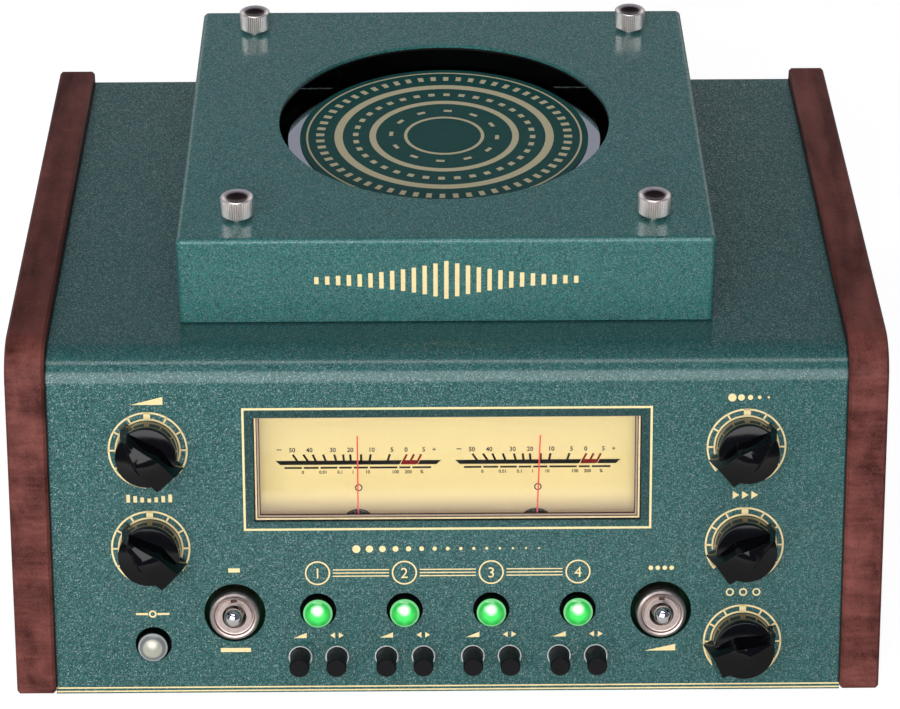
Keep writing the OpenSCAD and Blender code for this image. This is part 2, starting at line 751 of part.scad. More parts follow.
// Five cans with bushing and nut on the panel, and eight small ones on the control board
module potentiometers() color([0.5, 0.5, 0.48]) {
  for (k = knobs) on_panel(k[0], k[1]) {
    difference() {
      union() {
        hole(pot_r, -sheet_t - pot_depth, -sheet_t);
        hole(pot_bush_r, -sheet_t - 1, bush_top);
      }
      hole(pot_shaft_r + running_fit, -pot_depth, bush_top + 1);
    }
    difference() {
      cylinder(r = nut_r, h = nut_h, $fn = 6);
      hole(pot_bush_r + running_fit, -1, nut_h + 1);
    }
  }
  for (t = trims) on_panel(t[0], t[1]) difference() {
    block([-trim_body / 2, trim_body / 2], [-trim_body / 2, trim_body / 2], [board_front, trim_top]);
    hole(trim_stem_r + running_fit, board_front + 1, trim_top + 1);
  }
}

// One level of a knob's bar: half-widths and places of its beak, its shoulders and its blunt tail
module bar_level(h, beak, shoulder, tail) translate([0, 0, h]) linear_extrude(0.1) polygon([
  [beak[0], beak[1]], [shoulder[0], shoulder[1]], [tail[0], tail[1]],
  [-tail[0], tail[1]], [-shoulder[0], shoulder[1]], [-beak[0], beak[1]]
]);

// Pointer knob: a round base, and across it a bar with a narrow beak and a blunt tail down to the panel
module knob(i) {
  k = knobs[i];
  draft = 0.2;
  top_w = knob_bar_w / 2;
  foot_w = knob_foot_w / 2;
  bore_top = knob_rim + 2;
  color(black) on_panel(k[0], k[1]) rotate([0, 0, -k[2]]) {
    difference() {
      union() {
        translate([0, 0, knob_gap])
          cylinder(r1 = knob_r, r2 = knob_r - draft, h = knob_rim - knob_gap, $fn = 96);
        hull() {
          bar_level(knob_gap, [1.2, knob_beak], [foot_w, -1], [top_w + 0.8, -knob_tail]);
          bar_level(knob_rim, [1.8, knob_beak - 1.7], [foot_w, -1], [top_w + 0.7, 1.3 - knob_tail]);
          bar_level(knob_top - 0.1, [0.4, knob_beak - 3], [top_w - 0.1, -2.4], [top_w, 2.3 - knob_tail]);
        }
      }
      hole(nut_r + 2 * pass_gap, 0, nut_h + 2 * pass_gap);
      hole(pot_bush_r + 2 * pass_gap, 0, bush_top + 2 * pass_gap);
      hole(pot_shaft_r + running_fit, 0, bore_top);
    }
    hole(pot_shaft_r, -pot_depth + pass_gap, bore_top - slip_gap);
  }
}

module trim(i) color(black) on_panel(trims[i][0], trims[i][1]) rotate_extrude($fn = 40) polygon([
  [0, board_front + 1 + pass_gap], [trim_stem_r, board_front + 1 + pass_gap],
  [trim_stem_r, trim_top + pass_gap],
  [trim_r, trim_top + pass_gap], [trim_r, trim_out - 0.5], [trim_r - 0.5, trim_out], [0, trim_out]
]);

// Switch bodies on the control board, with a keyed bushing and a rounded ring nut
module toggle_switches() color(nickel) for (t = toggles) on_panel(t[0], t[1]) {
  difference() {
    union() {
      intersection() {
        block([-7, 7], [-7, 7], [board_front, toggle_seat]);
        hole(toggle_nut_r - 0.4, board_front - 1, toggle_seat + 1);
      }
      hole(toggle_bush_r, toggle_seat - 1, toggle_nut_out);
    }
    hole(lever_bore_r, lever_pivot - lever_ball_r - pass_gap, toggle_nut_out + 1);
    block([-1.05, 1.05], [toggle_bush_r - 0.8, toggle_nut_r], [0, toggle_nut_out + 1]);
    translate([0, 0, lever_pivot]) rotate([0, 90, 0])
      cylinder(r = lever_pin_r + running_fit, h = 2 * lever_pin_reach + pass_gap, center = true);
  }
  translate([0, 0, running_fit]) rotate_extrude() polygon([
    [toggle_bush_r + running_fit, toggle_seat], [toggle_nut_r, toggle_seat],
    [toggle_nut_r, toggle_nut_out - 1.2], [toggle_nut_r - 0.4, toggle_nut_out - 0.4],
    [toggle_nut_r - 1.1, toggle_nut_out], [toggle_nut_r - 1.7, toggle_nut_out - 0.2],
    [toggle_nut_r - 2, toggle_nut_out - 0.9], [toggle_bush_r + running_fit, toggle_nut_out - 1]
  ]);
}

// Bat lever with a ball and a cross pin at its pivot and a ball tip, tilted up the slope
module lever(t) color(nickel) on_panel(t[0], t[1], lever_pivot) rotate([-lever_tilt, 0, 0]) union() {
  reach = lever_out - lever_pivot;
  sphere(r = lever_ball_r);
  rotate([0, 90, 0]) cylinder(r = lever_pin_r, h = 2 * lever_pin_reach, center = true);
  cylinder(r1 = lever_root_r, r2 = 0.8 * lever_tip_r, h = reach - lever_tip_r);
  translate([0, 0, reach - lever_tip_r]) sphere(r = lever_tip_r);
}

lever_ball_r = lever_bore_r - 0.1;

module left_lever() lever(toggles[0]);

module right_lever() lever(toggles[1]);

module button_switches() color(black) for (b = buttons) on_panel(b[0], b[1]) difference() {
  block([-switch_side / 2, switch_side / 2], [-switch_side / 2, switch_side / 2],
    [board_front, switch_top]);
  hole(stem_r + running_fit, stem_floor, switch_top + 1);
}

// Domed translucent cap on a stem
module button(i) {
  dome_h = 0.42 * button_r;
  ball_r = (button_r * button_r + dome_h * dome_h) / (2 * dome_h);
  shoulder = button_out - dome_h;
  color([0.6, 0.9, 0.65]) on_panel(buttons[i][0], buttons[i][1]) rotate_extrude($fn = 48) intersection() {
    union() {
      translate([0, stem_low]) square([stem_r, button_low - stem_low]);
      translate([0, button_low]) square([button_r, shoulder - button_low]);
      intersection() {
        translate([0, button_out - ball_r]) circle(r = ball_r, $fn = 96);
        translate([0, shoulder]) square([button_r, dome_h + 1]);
      }
    }
    translate([0, stem_low - 1]) square([2 * button_r, button_out - stem_low + 2]);
  }
}

// Meter

module meter_case() color(black) on_panel(0, 0) difference() {
  block([-meter_u - meter_wall, meter_u + meter_wall], [meter_low - meter_wall, meter_high + meter_wall],
    [meter_back, -sheet_t]);
  block([-meter_u, meter_u], [meter_low, meter_high], [meter_back + meter_wall, 0]);
}

module meter_sheet(low, high) block(
  [-meter_u + slip_gap, meter_u - slip_gap], [meter_low + slip_gap, meter_high - slip_gap], [low, high]
);

module meter_lens() color([0.9, 0.95, 1, 0.3]) on_panel(0, 0) meter_sheet(lens_back, -sheet_t - slip_gap);

module meter_dial() color(cream) on_panel(0, 0) difference() {
  meter_sheet(dial_back, dial_front);
  for (s = [-1, 1]) translate([s * needle_u, needle_v, 0]) hole(2 * pivot_r, dial_back - 1, dial_front + 1);
}

// Two moving-coil bodies behind the dial, and the black domes round the needles' pivots
module meter_movements() color(black) for (s = [-1, 1]) on_panel(s * needle_u, needle_v) {
  difference() {
    hole(needle_v - meter_low - slip_gap, meter_back + meter_wall, dial_back);
    hole(pivot_r + running_fit, meter_back + 2 * meter_wall, dial_back + 1);
  }
  ball_r = (hub_cap_r * hub_cap_r + hub_cap_h * hub_cap_h) / (2 * hub_cap_h);
  bore_r = pivot_r + running_fit;
  translate([0, 0, dial_front]) rotate_extrude($fn = 64) intersection() {
    translate([0, hub_cap_h - ball_r]) circle(r = ball_r, $fn = 128);
    translate([bore_r, 0]) square([hub_cap_r - bore_r, hub_cap_h]);
  }
}

// Red pointer with its hub and pivot, turned clockwise from upright
module needle(side, turn) color("red") on_panel(side * needle_u, needle_v) rotate([0, 0, -turn]) union() {
  hole(needle_hub_r, needle_back, needle_back + needle_t);
  hole(pivot_r, meter_back + 2 * meter_wall + 1, needle_back + 0.5);
  block([-needle_w / 2, needle_w / 2], [0, needle_len], [needle_back + 0.2, needle_back + 0.7]);
}

module left_needle() needle(-1, needle_rest[0]);

module right_needle() needle(1, needle_rest[1]);

// Rear

jack_xs = [for (i = [-1.5:1:1.5]) i * jack_step];
inlet_x = inner_w / 2 - inlet_edge;
inlet_bush_r = inlet_bore_r + 2.2;
inlet_depth = 12;

// Children drawn with Z pointing out of the rear panel's face
module on_rear(x) placed() translate([x, rear_y, jack_z]) rotate([-90, 0, 0]) children();

module ring(r, bore, h) difference() {
  cylinder(r = r, h = h);
  hole(bore, -1, h + 1);
}

// Four plug sockets, each a housing with a bushing, and a nut on the outside
module jack_sockets() color(black) for (x = jack_xs) on_rear(x) {
  difference() {
    union() {
      block([-jack_body / 2, jack_body / 2], [-jack_body / 2, jack_body / 2],
        [jack_out - jack_depth - jack_back, -sheet_t]);
      hole(jack_bush_r, -sheet_t - 1, jack_out);
    }
    hole(jack_bore_r, jack_out - jack_depth, jack_out + 1);
  }
  ring(jack_bush_r + jack_nut, jack_bush_r + running_fit, jack_out / 2);
}

module power_inlet() color(black) on_rear(inlet_x) {
  difference() {
    union() {
      hole(inlet_bush_r + 1.5, -inlet_depth, -sheet_t);
      hole(inlet_bush_r, -sheet_t - 1, jack_out);
    }
    difference() {
      hole(inlet_bore_r, jack_out - inlet_depth, jack_out + 1);
      hole(inlet_pin_r, jack_out - inlet_depth - 1, jack_out - 1);
    }
  }
  ring(inlet_bush_r + jack_nut, inlet_bush_r + running_fit, jack_out / 2);
}

case_wrap();
base_plate();
rear_panel();
left_cheek();
right_cheek();
feet();
case_screws();
deck_plate();
cover_posts();
drum_bearing();
drive_motor();
drive_belt();
erase_head();
record_head();
playback_heads();
head_brackets();
main_board();
control_board();
potentiometers();
toggle_switches();
button_switches();
meter_case();
meter_dial();
meter_lens();
meter_movements();
jack_sockets();
power_inlet();
drum_cover();
thumbscrew(0);  // thumbscrew_1
thumbscrew(1);  // thumbscrew_2
thumbscrew(2);  // thumbscrew_3
thumbscrew(3);  // thumbscrew_4
drum_body();
drum_face();
recording_band();
drum_spindle();
drum_pulley();
motor_pulley();
knob(0);  // knob_1
knob(1);  // knob_2
knob(2);  // knob_3
knob(3);  // knob_4
knob(4);  // knob_5
trim(0);  // trim_1
trim(1);  // trim_2
trim(2);  // trim_3
trim(3);  // trim_4
trim(4);  // trim_5
trim(5);  // trim_6
trim(6);  // trim_7
trim(7);  // trim_8
left_lever();
right_lever();
button(0);  // head_button_1
button(1);  // head_button_2
button(2);  // head_button_3
button(3);  // head_button_4
button(4);  // bypass_button
left_needle();
right_needle();
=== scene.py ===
"""Tabletop drum echo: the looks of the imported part, laid out as an add-on and run as a script."""

import json
import math

import bmesh
import bpy
import numpy as np
from bpy.props import FloatProperty, FloatVectorProperty, PointerProperty
from mathutils import Matrix, Vector

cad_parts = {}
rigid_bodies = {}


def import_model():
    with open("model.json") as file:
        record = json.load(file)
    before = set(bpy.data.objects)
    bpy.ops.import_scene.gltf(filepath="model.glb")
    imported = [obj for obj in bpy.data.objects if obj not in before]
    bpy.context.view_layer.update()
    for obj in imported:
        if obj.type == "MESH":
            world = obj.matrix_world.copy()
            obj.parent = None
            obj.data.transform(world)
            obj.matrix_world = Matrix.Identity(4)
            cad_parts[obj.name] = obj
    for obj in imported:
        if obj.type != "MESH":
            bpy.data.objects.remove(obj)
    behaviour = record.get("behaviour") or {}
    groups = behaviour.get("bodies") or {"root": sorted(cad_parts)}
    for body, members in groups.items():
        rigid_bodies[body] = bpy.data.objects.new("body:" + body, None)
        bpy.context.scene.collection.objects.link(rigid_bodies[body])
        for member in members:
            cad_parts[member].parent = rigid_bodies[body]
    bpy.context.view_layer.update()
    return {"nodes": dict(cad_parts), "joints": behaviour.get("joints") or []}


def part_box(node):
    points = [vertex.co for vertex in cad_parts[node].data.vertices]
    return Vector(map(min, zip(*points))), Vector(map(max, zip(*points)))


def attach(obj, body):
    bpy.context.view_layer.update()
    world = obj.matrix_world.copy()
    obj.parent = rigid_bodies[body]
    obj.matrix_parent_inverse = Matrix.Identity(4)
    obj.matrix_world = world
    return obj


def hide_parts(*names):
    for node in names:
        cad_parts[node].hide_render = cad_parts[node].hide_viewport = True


bl_info = {
    "name": "Tabletop drum echo",
    "version": (1, 0, 0),
    "blender": (4, 5, 0),
    "location": "View3D > Sidebar > Drum echo",
    "description": "Finishes, prints and small pieces of a tabletop drum echo",
    "category": "Object",
}

for leftover in list(bpy.data.objects):
    bpy.data.objects.remove(leftover)
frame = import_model()
NODES = frame["nodes"]
JOINTS = {j["name"]: j for j in frame["joints"]}

# Panel frame: across, up its slope and out of it, in metres, from the joints that stand on it
OUT = np.array(JOINTS["knob_1_turn"]["axis"], float)
UP = np.array([0.0, OUT[2], -OUT[1]])
ACROSS = np.array([1.0, 0.0, 0.0])
KNOB_NAMES = ["knob_1", "knob_2", "knob_3", "knob_4", "knob_5"]
LOWEST_KNOB_UP = 0.0178
PANEL = np.array(JOINTS["knob_5_turn"]["pos_m"]) * (0, 1, 1) - LOWEST_KNOB_UP * UP
DRUM = np.array(JOINTS["drum_spin"]["pos_m"])


def panel_place(joint):
    """Place of a joint on the panel, across and up its slope, in mm."""
    p = np.array(JOINTS[joint]["pos_m"]) - PANEL
    return 1000 * p @ ACROSS, 1000 * p @ UP


KNOBS = [panel_place(n + "_turn") for n in KNOB_NAMES]
KNOB_TURNS = [sum(JOINTS[n + "_turn"]["range_deg"]) / 2 for n in KNOB_NAMES]
TRIMS = [panel_place(f"trim_{i}_turn") for i in range(1, 9)]
TOGGLES = [panel_place("left_lever_tilt"), panel_place("right_lever_tilt")]
BUTTON_US = (-45.0, -15.0, 15.0, 45.0)
BUTTON_V = 30.2
BYPASS = (KNOBS[0][0], 18.2)
INK_FOOT = -0.02  # prints start this far below their surface, in mm


def node_points(name):
    """Corner points of a CAD node, in metres."""
    corners = NODES[name].data.vertices
    flat = np.zeros(3 * len(corners))
    corners.foreach_get("co", flat)
    return flat.reshape(-1, 3)


DIAL_H = 1000 * ((node_points("meter_dial") - PANEL) @ OUT).max()


# Places: points in mm, in the frame of the piece that carries them, turned into metres of the whole part


def on_panel(points):
    """Points given across the panel, up its slope and out of it."""
    p = np.asarray(points, float) / 1000
    return PANEL + p[:, :1] * ACROSS + p[:, 1:2] * UP + p[:, 2:] * OUT


def on_drum(points):
    """Points given about the drum's axis, with heights over the drum's face disc."""
    p = np.asarray(points, float) / 1000
    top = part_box("drum_face")[1].z
    return np.array([DRUM[0], DRUM[1], top]) + p


def on_cover_front(points):
    """Points given across the cover's front wall, up it from its lower edge, and out of it."""
    p = np.asarray(points, float) / 1000
    low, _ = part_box("drum_cover")
    return np.array([0, low.y, low.z]) + np.c_[p[:, 0], -p[:, 2], p[:, 1]]


def on_rear(points):
    """Points given across the rear panel seen from behind, up from the foot, and out of it."""
    p = np.asarray(points, float) / 1000
    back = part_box("rear_panel")[1].y
    return np.array([0, back, 0]) + np.c_[-p[:, 0], p[:, 2], p[:, 1]]


# Shapes: each returns points in mm and faces


def sheet_of(grid, round_rows=False, round_cols=False, caps=False):
    """Quads over a grid of points, closed across rows or columns and capped at its ends where asked."""
    rows, cols = grid.shape[:2]
    index = np.arange(rows * cols).reshape(rows, cols)
    if round_rows:
        index = np.vstack([index, index[:1]])
    if round_cols:
        index = np.hstack([index, index[:, :1]])
    corners = [index[:-1, :-1], index[1:, :-1], index[1:, 1:], index[:-1, 1:]]
    quads = np.stack(corners, -1).reshape(-1, 4).tolist()
    if caps:
        quads += [index[:rows, 0].tolist(), index[:rows, -1][::-1].tolist()]
    return grid.reshape(-1, 3), quads


def band(inner, outer, low, high, closed=False):
    """A flat strip: the rectangle between two lines, from one height to another, carried along them."""
    inner, outer = np.asarray(inner, float), np.asarray(outer, float)
    edges = ((inner, low), (outer, low), (outer, high), (inner, high))
    grid = np.stack([np.c_[line, np.full(len(line), h)] for line, h in edges])
    return sheet_of(grid, round_rows=True, round_cols=closed, caps=not closed)


def arc_band(at, r0, r1, start, end, low, high, steps=72):
    """A strip between two radii about a point, from angle to angle in degrees, clockwise from upright."""
    closed = end - start >= 360
    a = np.radians(np.linspace(start, end, steps, endpoint=not closed))
    ray = np.c_[np.sin(a), np.cos(a)]
    return band(at + r0 * ray, at + r1 * ray, low, high, closed)


def hoop(at, r0, r1, low, high, steps=72):
    """A whole ring between two radii about a point."""
    return arc_band(np.array(at), r0, r1, 0, 360, low, high, steps)


def bar(u0, v0, u1, v1, width, low, high):
    """A straight strip of a given width from one point to another."""
    p, q = np.array([u0, v0], float), np.array([u1, v1], float)
    side = np.array([q[1] - p[1], p[0] - q[0]])
    side *= width / 2 / np.linalg.norm(side)
    return band([p - side, q - side], [p + side, q + side], low, high)


def plate(corners, low, high):
    """A flat plate with the given corners: its outline carried from one height to another and capped."""
    c = np.asarray(corners, float)
    grid = np.stack([np.c_[c, np.full(len(c), low)], np.c_[c, np.full(len(c), high)]], 1)
    points, quads = sheet_of(grid, round_rows=True)
    n = len(c)
    return points, quads + [list(range(0, 2 * n, 2)), list(range(1, 2 * n, 2))[::-1]]


def disc(at, r, low, high, steps=40):
    """A round plate."""
    a = np.linspace(0, 2 * np.pi, steps, endpoint=False)
    return plate(np.array(at) + r * np.c_[np.cos(a), np.sin(a)], low, high)


def lathe(profile, at=(0, 0), steps=96):
    """A profile of radius and height, swung about an axis through a point."""
    p = np.asarray(profile, float)
    a = np.linspace(0, 2 * np.pi, steps, endpoint=False)
    x = at[0] + p[:, :1] * np.cos(a)
    y = at[1] + p[:, :1] * np.sin(a)
    return sheet_of(np.stack([x, y, np.repeat(p[:, 1:], steps, 1)], -1), round_cols=True)


def bent(profile, corner, radius, start, end, steps=6):
    """A profile lengthened by an arc about a corner centre, from one angle to another in degrees."""
    a = np.radians(np.linspace(start, end, steps))
    return profile + [(corner[0] + radius * np.cos(t), corner[1] + radius * np.sin(t)) for t in a]


def turned(part, degrees, at=(0, 0)):
    """A shape turned clockwise about a point."""
    points, faces = part
    a = math.radians(-degrees)
    spin = np.array([[math.cos(a), math.sin(a), 0], [-math.sin(a), math.cos(a), 0], [0, 0, 1]])
    return points @ spin + (at[0], at[1], 0), faces


def figures(words, size, u, v, low, high, bold=0.0):
    """Figures such as a number on a dial, as flat plates centred on a point, of a given height."""
    curve = bpy.data.curves.new("figures", "FONT")
    curve.body, curve.size, curve.extrude = words, 1.0, 0.5
    curve.resolution_u, curve.offset = 3, bold
    holder = bpy.data.objects.new("figures", curve)
    bpy.context.scene.collection.objects.link(holder)
    bpy.context.view_layer.update()
    mesh = bpy.data.meshes.new_from_object(holder.evaluated_get(bpy.context.evaluated_depsgraph_get()))
    co = np.zeros(3 * len(mesh.vertices))
    mesh.vertices.foreach_get("co", co)
    co = co.reshape(-1, 3)
    faces = [list(p.vertices) for p in mesh.polygons]
    bpy.data.objects.remove(holder)
    bpy.data.curves.remove(curve)
    bpy.data.meshes.remove(mesh)
    middle = (co.min(0) + co.max(0)) / 2
    cap_height = 0.73  # of the built-in font at size 1
    flat = (co[:, :2] - middle[:2] * (1, 0) - (0, cap_height / 2)) * (size / cap_height) + (u, v)
    height = np.where(co[:, 2] > 0, high, low)
    return np.c_[flat, height], faces


def make_piece(name, parts, place, material, body, smooth=30):
    """One object from several shapes, put in place, with doubles merged and faces turned outwards."""
    points = np.vstack([p for p, _ in parts])
    starts = np.cumsum([0] + [len(p) for p, _ in parts[:-1]])
    faces = [[i + s for i in f] for (_, fs), s in zip(parts, starts) for f in fs]
    mesh = bpy.data.meshes.new(name)
    mesh.from_pydata(place(points).tolist(), [], faces)
    shape = bmesh.new()
    shape.from_mesh(mesh)
    bmesh.ops.remove_doubles(shape, verts=shape.verts, dist=1e-8)
    bmesh.ops.recalc_face_normals(shape, faces=shape.faces)
    shape.to_mesh(mesh)
    shape.free()
    mesh.shade_smooth()
    mesh.set_sharp_from_angle(angle=math.radians(smooth))
    mesh.materials.append(material)
    piece = bpy.data.objects.new(name, mesh)
    bpy.context.scene.collection.objects.link(piece)
    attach(piece, body)
    return piece


def dress(material, *names):
    """Gives CAD nodes a finish."""
    for name in names:
        slots = NODES[name].data.materials
        slots.clear()
        slots.append(material)


# Finishes


class Wire:
    """A socket of a finish. Sums, products and comparisons of wires and numbers add Math nodes."""

    def __init__(self, finish, socket):
        self.finish, self.socket = finish, socket

    def math(self, operation, other=0.0, swap=False):
        a, b = (other, self) if swap else (self, other)
        return self.finish.add("Math", {"operation": operation}, {0: a, 1: b})

    def __add__(self, other):
        return self.math("ADD", other)

    def __sub__(self, other):
        return self.math("SUBTRACT", other)

    def __rsub__(self, other):
        return self.math("SUBTRACT", other, True)

    def __mul__(self, other):
        return self.math("MULTIPLY", other)

    def __truediv__(self, other):
        return self.math("DIVIDE", other)

    def __gt__(self, other):
        return self.math("GREATER_THAN", other)

    __radd__ = __add__

    def between(self, low, high):
        """0 below low and 1 above high, smooth between them."""
        return self.finish.add("MapRange", {"interpolation_type": "SMOOTHSTEP"},
                               {"Value": self, "From Min": low, "From Max": high})


class Finish:
    """A procedural material: a Principled shader, and the nodes that feed it."""

    def __init__(self, name, **constants):
        self.material = bpy.data.materials.new(name)
        self.material.use_nodes = True
        self.tree = self.material.node_tree
        self.shader = self.tree.nodes["Principled BSDF"]
        for socket, value in constants.items():
            self.feed(socket.replace("_", " "), value)

    @classmethod
    def of_tree(cls, tree):
        """The same helper on a tree that exists, such as the world's."""
        finish = cls.__new__(cls)
        finish.tree = tree
        return finish

    def add(self, kind, settings=None, values=None, output=0):
        """A node with its settings and its sockets' values or links; returns one of its outputs."""
        node = self.tree.nodes.new("ShaderNode" + kind)
        for key, value in (settings or {}).items():
            if key == "stops":
                ramp = node.color_ramp
                while len(ramp.elements) < len(value):
                    ramp.elements.new(0.5)
                for element, (position, color) in zip(ramp.elements, value):
                    element.position, element.color = position, (*color[:3], 1)
            else:
                setattr(node, key, value)
        for key, value in (values or {}).items():
            self.join(value, node.inputs[key])
        return Wire(self, node.outputs[output])

    def join(self, value, socket):
        if isinstance(value, Wire):
            self.tree.links.new(value.socket, socket)
        else:
            opaque = socket.type == "RGBA" and hasattr(value, "__len__") and len(value) == 3
            socket.default_value = (*value, 1.0) if opaque else value

    def feed(self, socket, value):
        self.join(value, self.shader.inputs[socket])

    def place(self):
        """Object coordinates, in metres."""
        return self.add("TexCoord", output="Object")

    def moved(self, where, turn=(0, 0, 0), scale=(1, 1, 1)):
        """Coordinates turned, in degrees, and scaled."""
        turn = [math.radians(t) for t in turn]
        return self.add("Mapping", {"vector_type": "POINT"},
                        {"Vector": where, "Rotation": turn, "Scale": scale})

    def split(self, vector):
        node = self.add("SeparateXYZ", None, {0: vector}).socket.node
        return [Wire(self, s) for s in node.outputs]

    def noise(self, where, scale, detail=2.0, rough=0.5, distortion=0.0):
        values = {"Vector": where, "Scale": scale, "Detail": detail,
                  "Roughness": rough, "Distortion": distortion}
        return self.add("TexNoise", None, values)

    def cells(self, where, scale):
        """A random colour for each small cell."""
        return self.add("TexVoronoi", {"feature": "F1"}, {"Vector": where, "Scale": scale}, "Color")

    def mix(self, factor, a, b):
        return self.add("Mix", {"data_type": "RGBA"}, {0: factor, 6: a, 7: b}, 2)

    def ramp(self, value, *stops):
        return self.add("ValToRGB", {"stops": stops}, {0: value})

    def bump(self, height, strength, distance):
        values = {"Height": height, "Strength": strength, "Distance": distance}
        self.feed("Normal", self.add("Bump", None, values))

    def panel_coordinates(self):
        """Across the panel, up its slope and out of it, in metres."""
        where = self.place()
        rest = self.add("VectorMath", {"operation": "SUBTRACT"}, {0: where, 1: PANEL.tolist()})
        return [self.add("VectorMath", {"operation": "DOT_PRODUCT"}, {0: rest, 1: axis.tolist()}, "Value")
                for axis in (ACROSS, UP, OUT)]


def flake_paint(name, colour, dark_mask_of=None, shaded=(0.004, 0.005, 0.005)):
    """Metal-flake paint: cells of 0.3 mm, each with its own tone and tilt, darkened by a mask: painted
    shade on the case, dark inner faces on the cover.
    """
    f = Finish(name, IOR=1.22, Specular_IOR_Level=0.3, Coat_Weight=0.6, Coat_Roughness=0.16)
    where = f.place()
    flakes_per_metre, clouds_per_metre, tilt_share = 3100.0, 130.0, 0.3
    spark_colour = (0.2, 0.27, 0.265)
    flake = f.cells(where, flakes_per_metre)
    shade, tint, _ = f.split(flake)
    cloud = f.noise(where, clouds_per_metre, 3.0)
    body = f.mix(shade * 0.8 + cloud * 0.2, [c * 0.35 for c in colour], [c * 1.65 for c in colour])
    spark = tint.between(0.55, 1.0) * shade
    body = f.mix(spark, body, spark_colour)
    metal_share = 0.2 + spark * 0.4
    # The mask darkens the paint: painted shade on the case, the inner faces on the drum cover.
    if dark_mask_of:
        mask = dark_mask_of(f, where)
        body = f.mix(mask, body, shaded)
        metal_share = metal_share * (1.0 - mask)
    f.feed("Base Color", body)
    f.feed("Metallic", metal_share)
    f.feed("Roughness", 0.5 - tint * 0.14)
    tilt = f.add("VectorMath", {"operation": "SUBTRACT"}, {0: flake, 1: (0.5, 0.5, 0.5)})
    tilt = f.add("VectorMath", {"operation": "SCALE"}, {0: tilt, "Scale": tilt_share})
    face = f.add("NewGeometry", None, None, "Normal")
    lean = f.add("VectorMath", {"operation": "ADD"}, {0: face, 1: tilt})
    f.feed("Normal", f.add("VectorMath", {"operation": "NORMALIZE"}, {0: lean}))
    return f.material


def inside_cover(f, where):
    """1 on the inner faces of the drum cover, from its box, and 0 on its outer faces and cut edge."""
    low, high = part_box("drum_cover")
    x, y, z = f.split(where)
    wall = 0.0012
    across = (x.math("ABSOLUTE") > high.x - wall)
    along = ((y - (low.y + high.y) / 2).math("ABSOLUTE") > (high.y - low.y) / 2 - wall)
    return (1.0 - across) * (1.0 - along) * (1.0 - (z > high.z - wall))


def case_shade(f, where):
    """Painted shade: dark in the shadowed gap at the sheet's edge beside the cheeks, and darker paint from
    the frame line in to the window, the shade of its recess.
    """
    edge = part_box("case_wrap")[1].x
    seam_in, seam_out = 0.0008, 0.0003
    # painted shadow in the gap between the sheet and the cheeks
    seam_shadow = f.split(where)[0].math("ABSOLUTE").between(edge - seam_in, edge - seam_out)
    u, v, _ = f.panel_coordinates()
    half_w, bottom, top, soft = 0.0695, 0.0602, 0.1028, 0.0006
    # painted shade in the window's recess, lighter on its lower ledge
    recess_shade = (half_w - u.math("ABSOLUTE")).between(0.0, soft)
    recess_shade = recess_shade * (top - v).between(0.0, soft) * (v - bottom).between(0.0, soft)
    ledge_v, ledge_soft, ledge_share, upper_share = 0.0615, 0.002, 0.25, 0.33
    recess_shade = recess_shade * (ledge_share + (v - ledge_v).between(0.0, ledge_soft) * upper_share)
    return seam_shadow.math("MAXIMUM", recess_shade)


def cheek_wood(name, dark, light):
    """Oiled red-brown wood: smoky streaks along the board, curl across it, and fine pores."""
    f = Finish(name, IOR=1.25, Specular_IOR_Level=0.25)
    where = f.place()
    smoke = f.noise(f.moved(where, turn=(9, 8, 0), scale=(1, 0.1, 0.8)), 95.0, 3.0, 0.55, 0.6)
    curl = f.noise(f.moved(where, turn=(0, -24, 0), scale=(0.35, 0.22, 1.7)), 75.0, 2.0, 0.5, 0.4)
    grain = f.noise(f.moved(where, turn=(0, -24, 0), scale=(0.3, 0.2, 1.6)), 420.0, 3.0, 0.6)
    pore = f.noise(f.moved(where, scale=(1, 0.35, 0.6)), 2300.0, 2.0, 0.6)
    tone = smoke * 0.4 + curl * 0.32 + grain * 0.2 + pore * 0.22
    half = [(a + b) / 2 for a, b in zip(dark, light)]
    f.feed("Base Color", f.ramp(tone, (0.44, dark), (0.58, half), (0.71, light)))
    f.feed("Roughness", 0.5 - smoke * 0.2 + pore * 0.12)
    f.bump(pore + grain * 0.5, 0.12, 0.0001)
    return f.material


def ink(name, colour):
    """Screen-printed ink with a faint unevenness."""
    f = Finish(name, IOR=1.4, Specular_IOR_Level=0.2)
    cloud = f.noise(f.place(), 700.0, 3.0)
    f.feed("Base Color", f.mix(cloud, [c * 0.86 for c in colour], colour))
    f.feed("Roughness", 0.42 + cloud * 0.2)
    return f.material


def plastic(name, colour, rough, speckle=900.0, grain=0.00002, coat=0.0, shine=0.2):
    """Moulded plastic: a fine grain in colour, gloss and relief."""
    f = Finish(name, IOR=1.4, Specular_IOR_Level=shine, Coat_Weight=coat, Coat_Roughness=0.06)
    cloud = f.noise(f.place(), speckle, 3.0, 0.6)
    f.feed("Base Color", f.mix(cloud, [c * 0.75 for c in colour], [c * 1.25 for c in colour]))
    f.feed("Roughness", cloud * (rough * 0.5) + rough * 0.75)
    f.bump(cloud, 0.25, grain)
    return f.material


def metal(name, colour, rough, scale=(1, 1, 1), marks=600.0, relief=0.06):
    """Plated or turned metal: fine marks in gloss and tone along one direction."""
    f = Finish(name, Metallic=1.0)
    where = f.moved(f.place(), scale=scale)
    mark = f.noise(where, marks, 4.0, 0.6)
    f.feed("Base Color", f.mix(mark, [c * 0.88 for c in colour], colour))
    f.feed("Roughness", mark * (rough * 0.7) + rough * 0.65)
    f.bump(mark, relief, 0.00002)
    return f.material


def srgb(r, g, b):
    """A colour given in 8-bit steps, as linear light."""
    return [((c / 255 + 0.055) / 1.055) ** 2.4 if c > 10 else c / 255 / 12.92 for c in (r, g, b)]


def length(label, tells, default, least):
    """A length in mm for the sidebar."""
    return FloatProperty(name=label, description=tells, default=default, min=least)


def tint(label, tells, *default):
    """A colour for the sidebar, its default in 8-bit steps."""
    return FloatVectorProperty(name=label, description=tells, subtype="COLOR", default=srgb(*default))


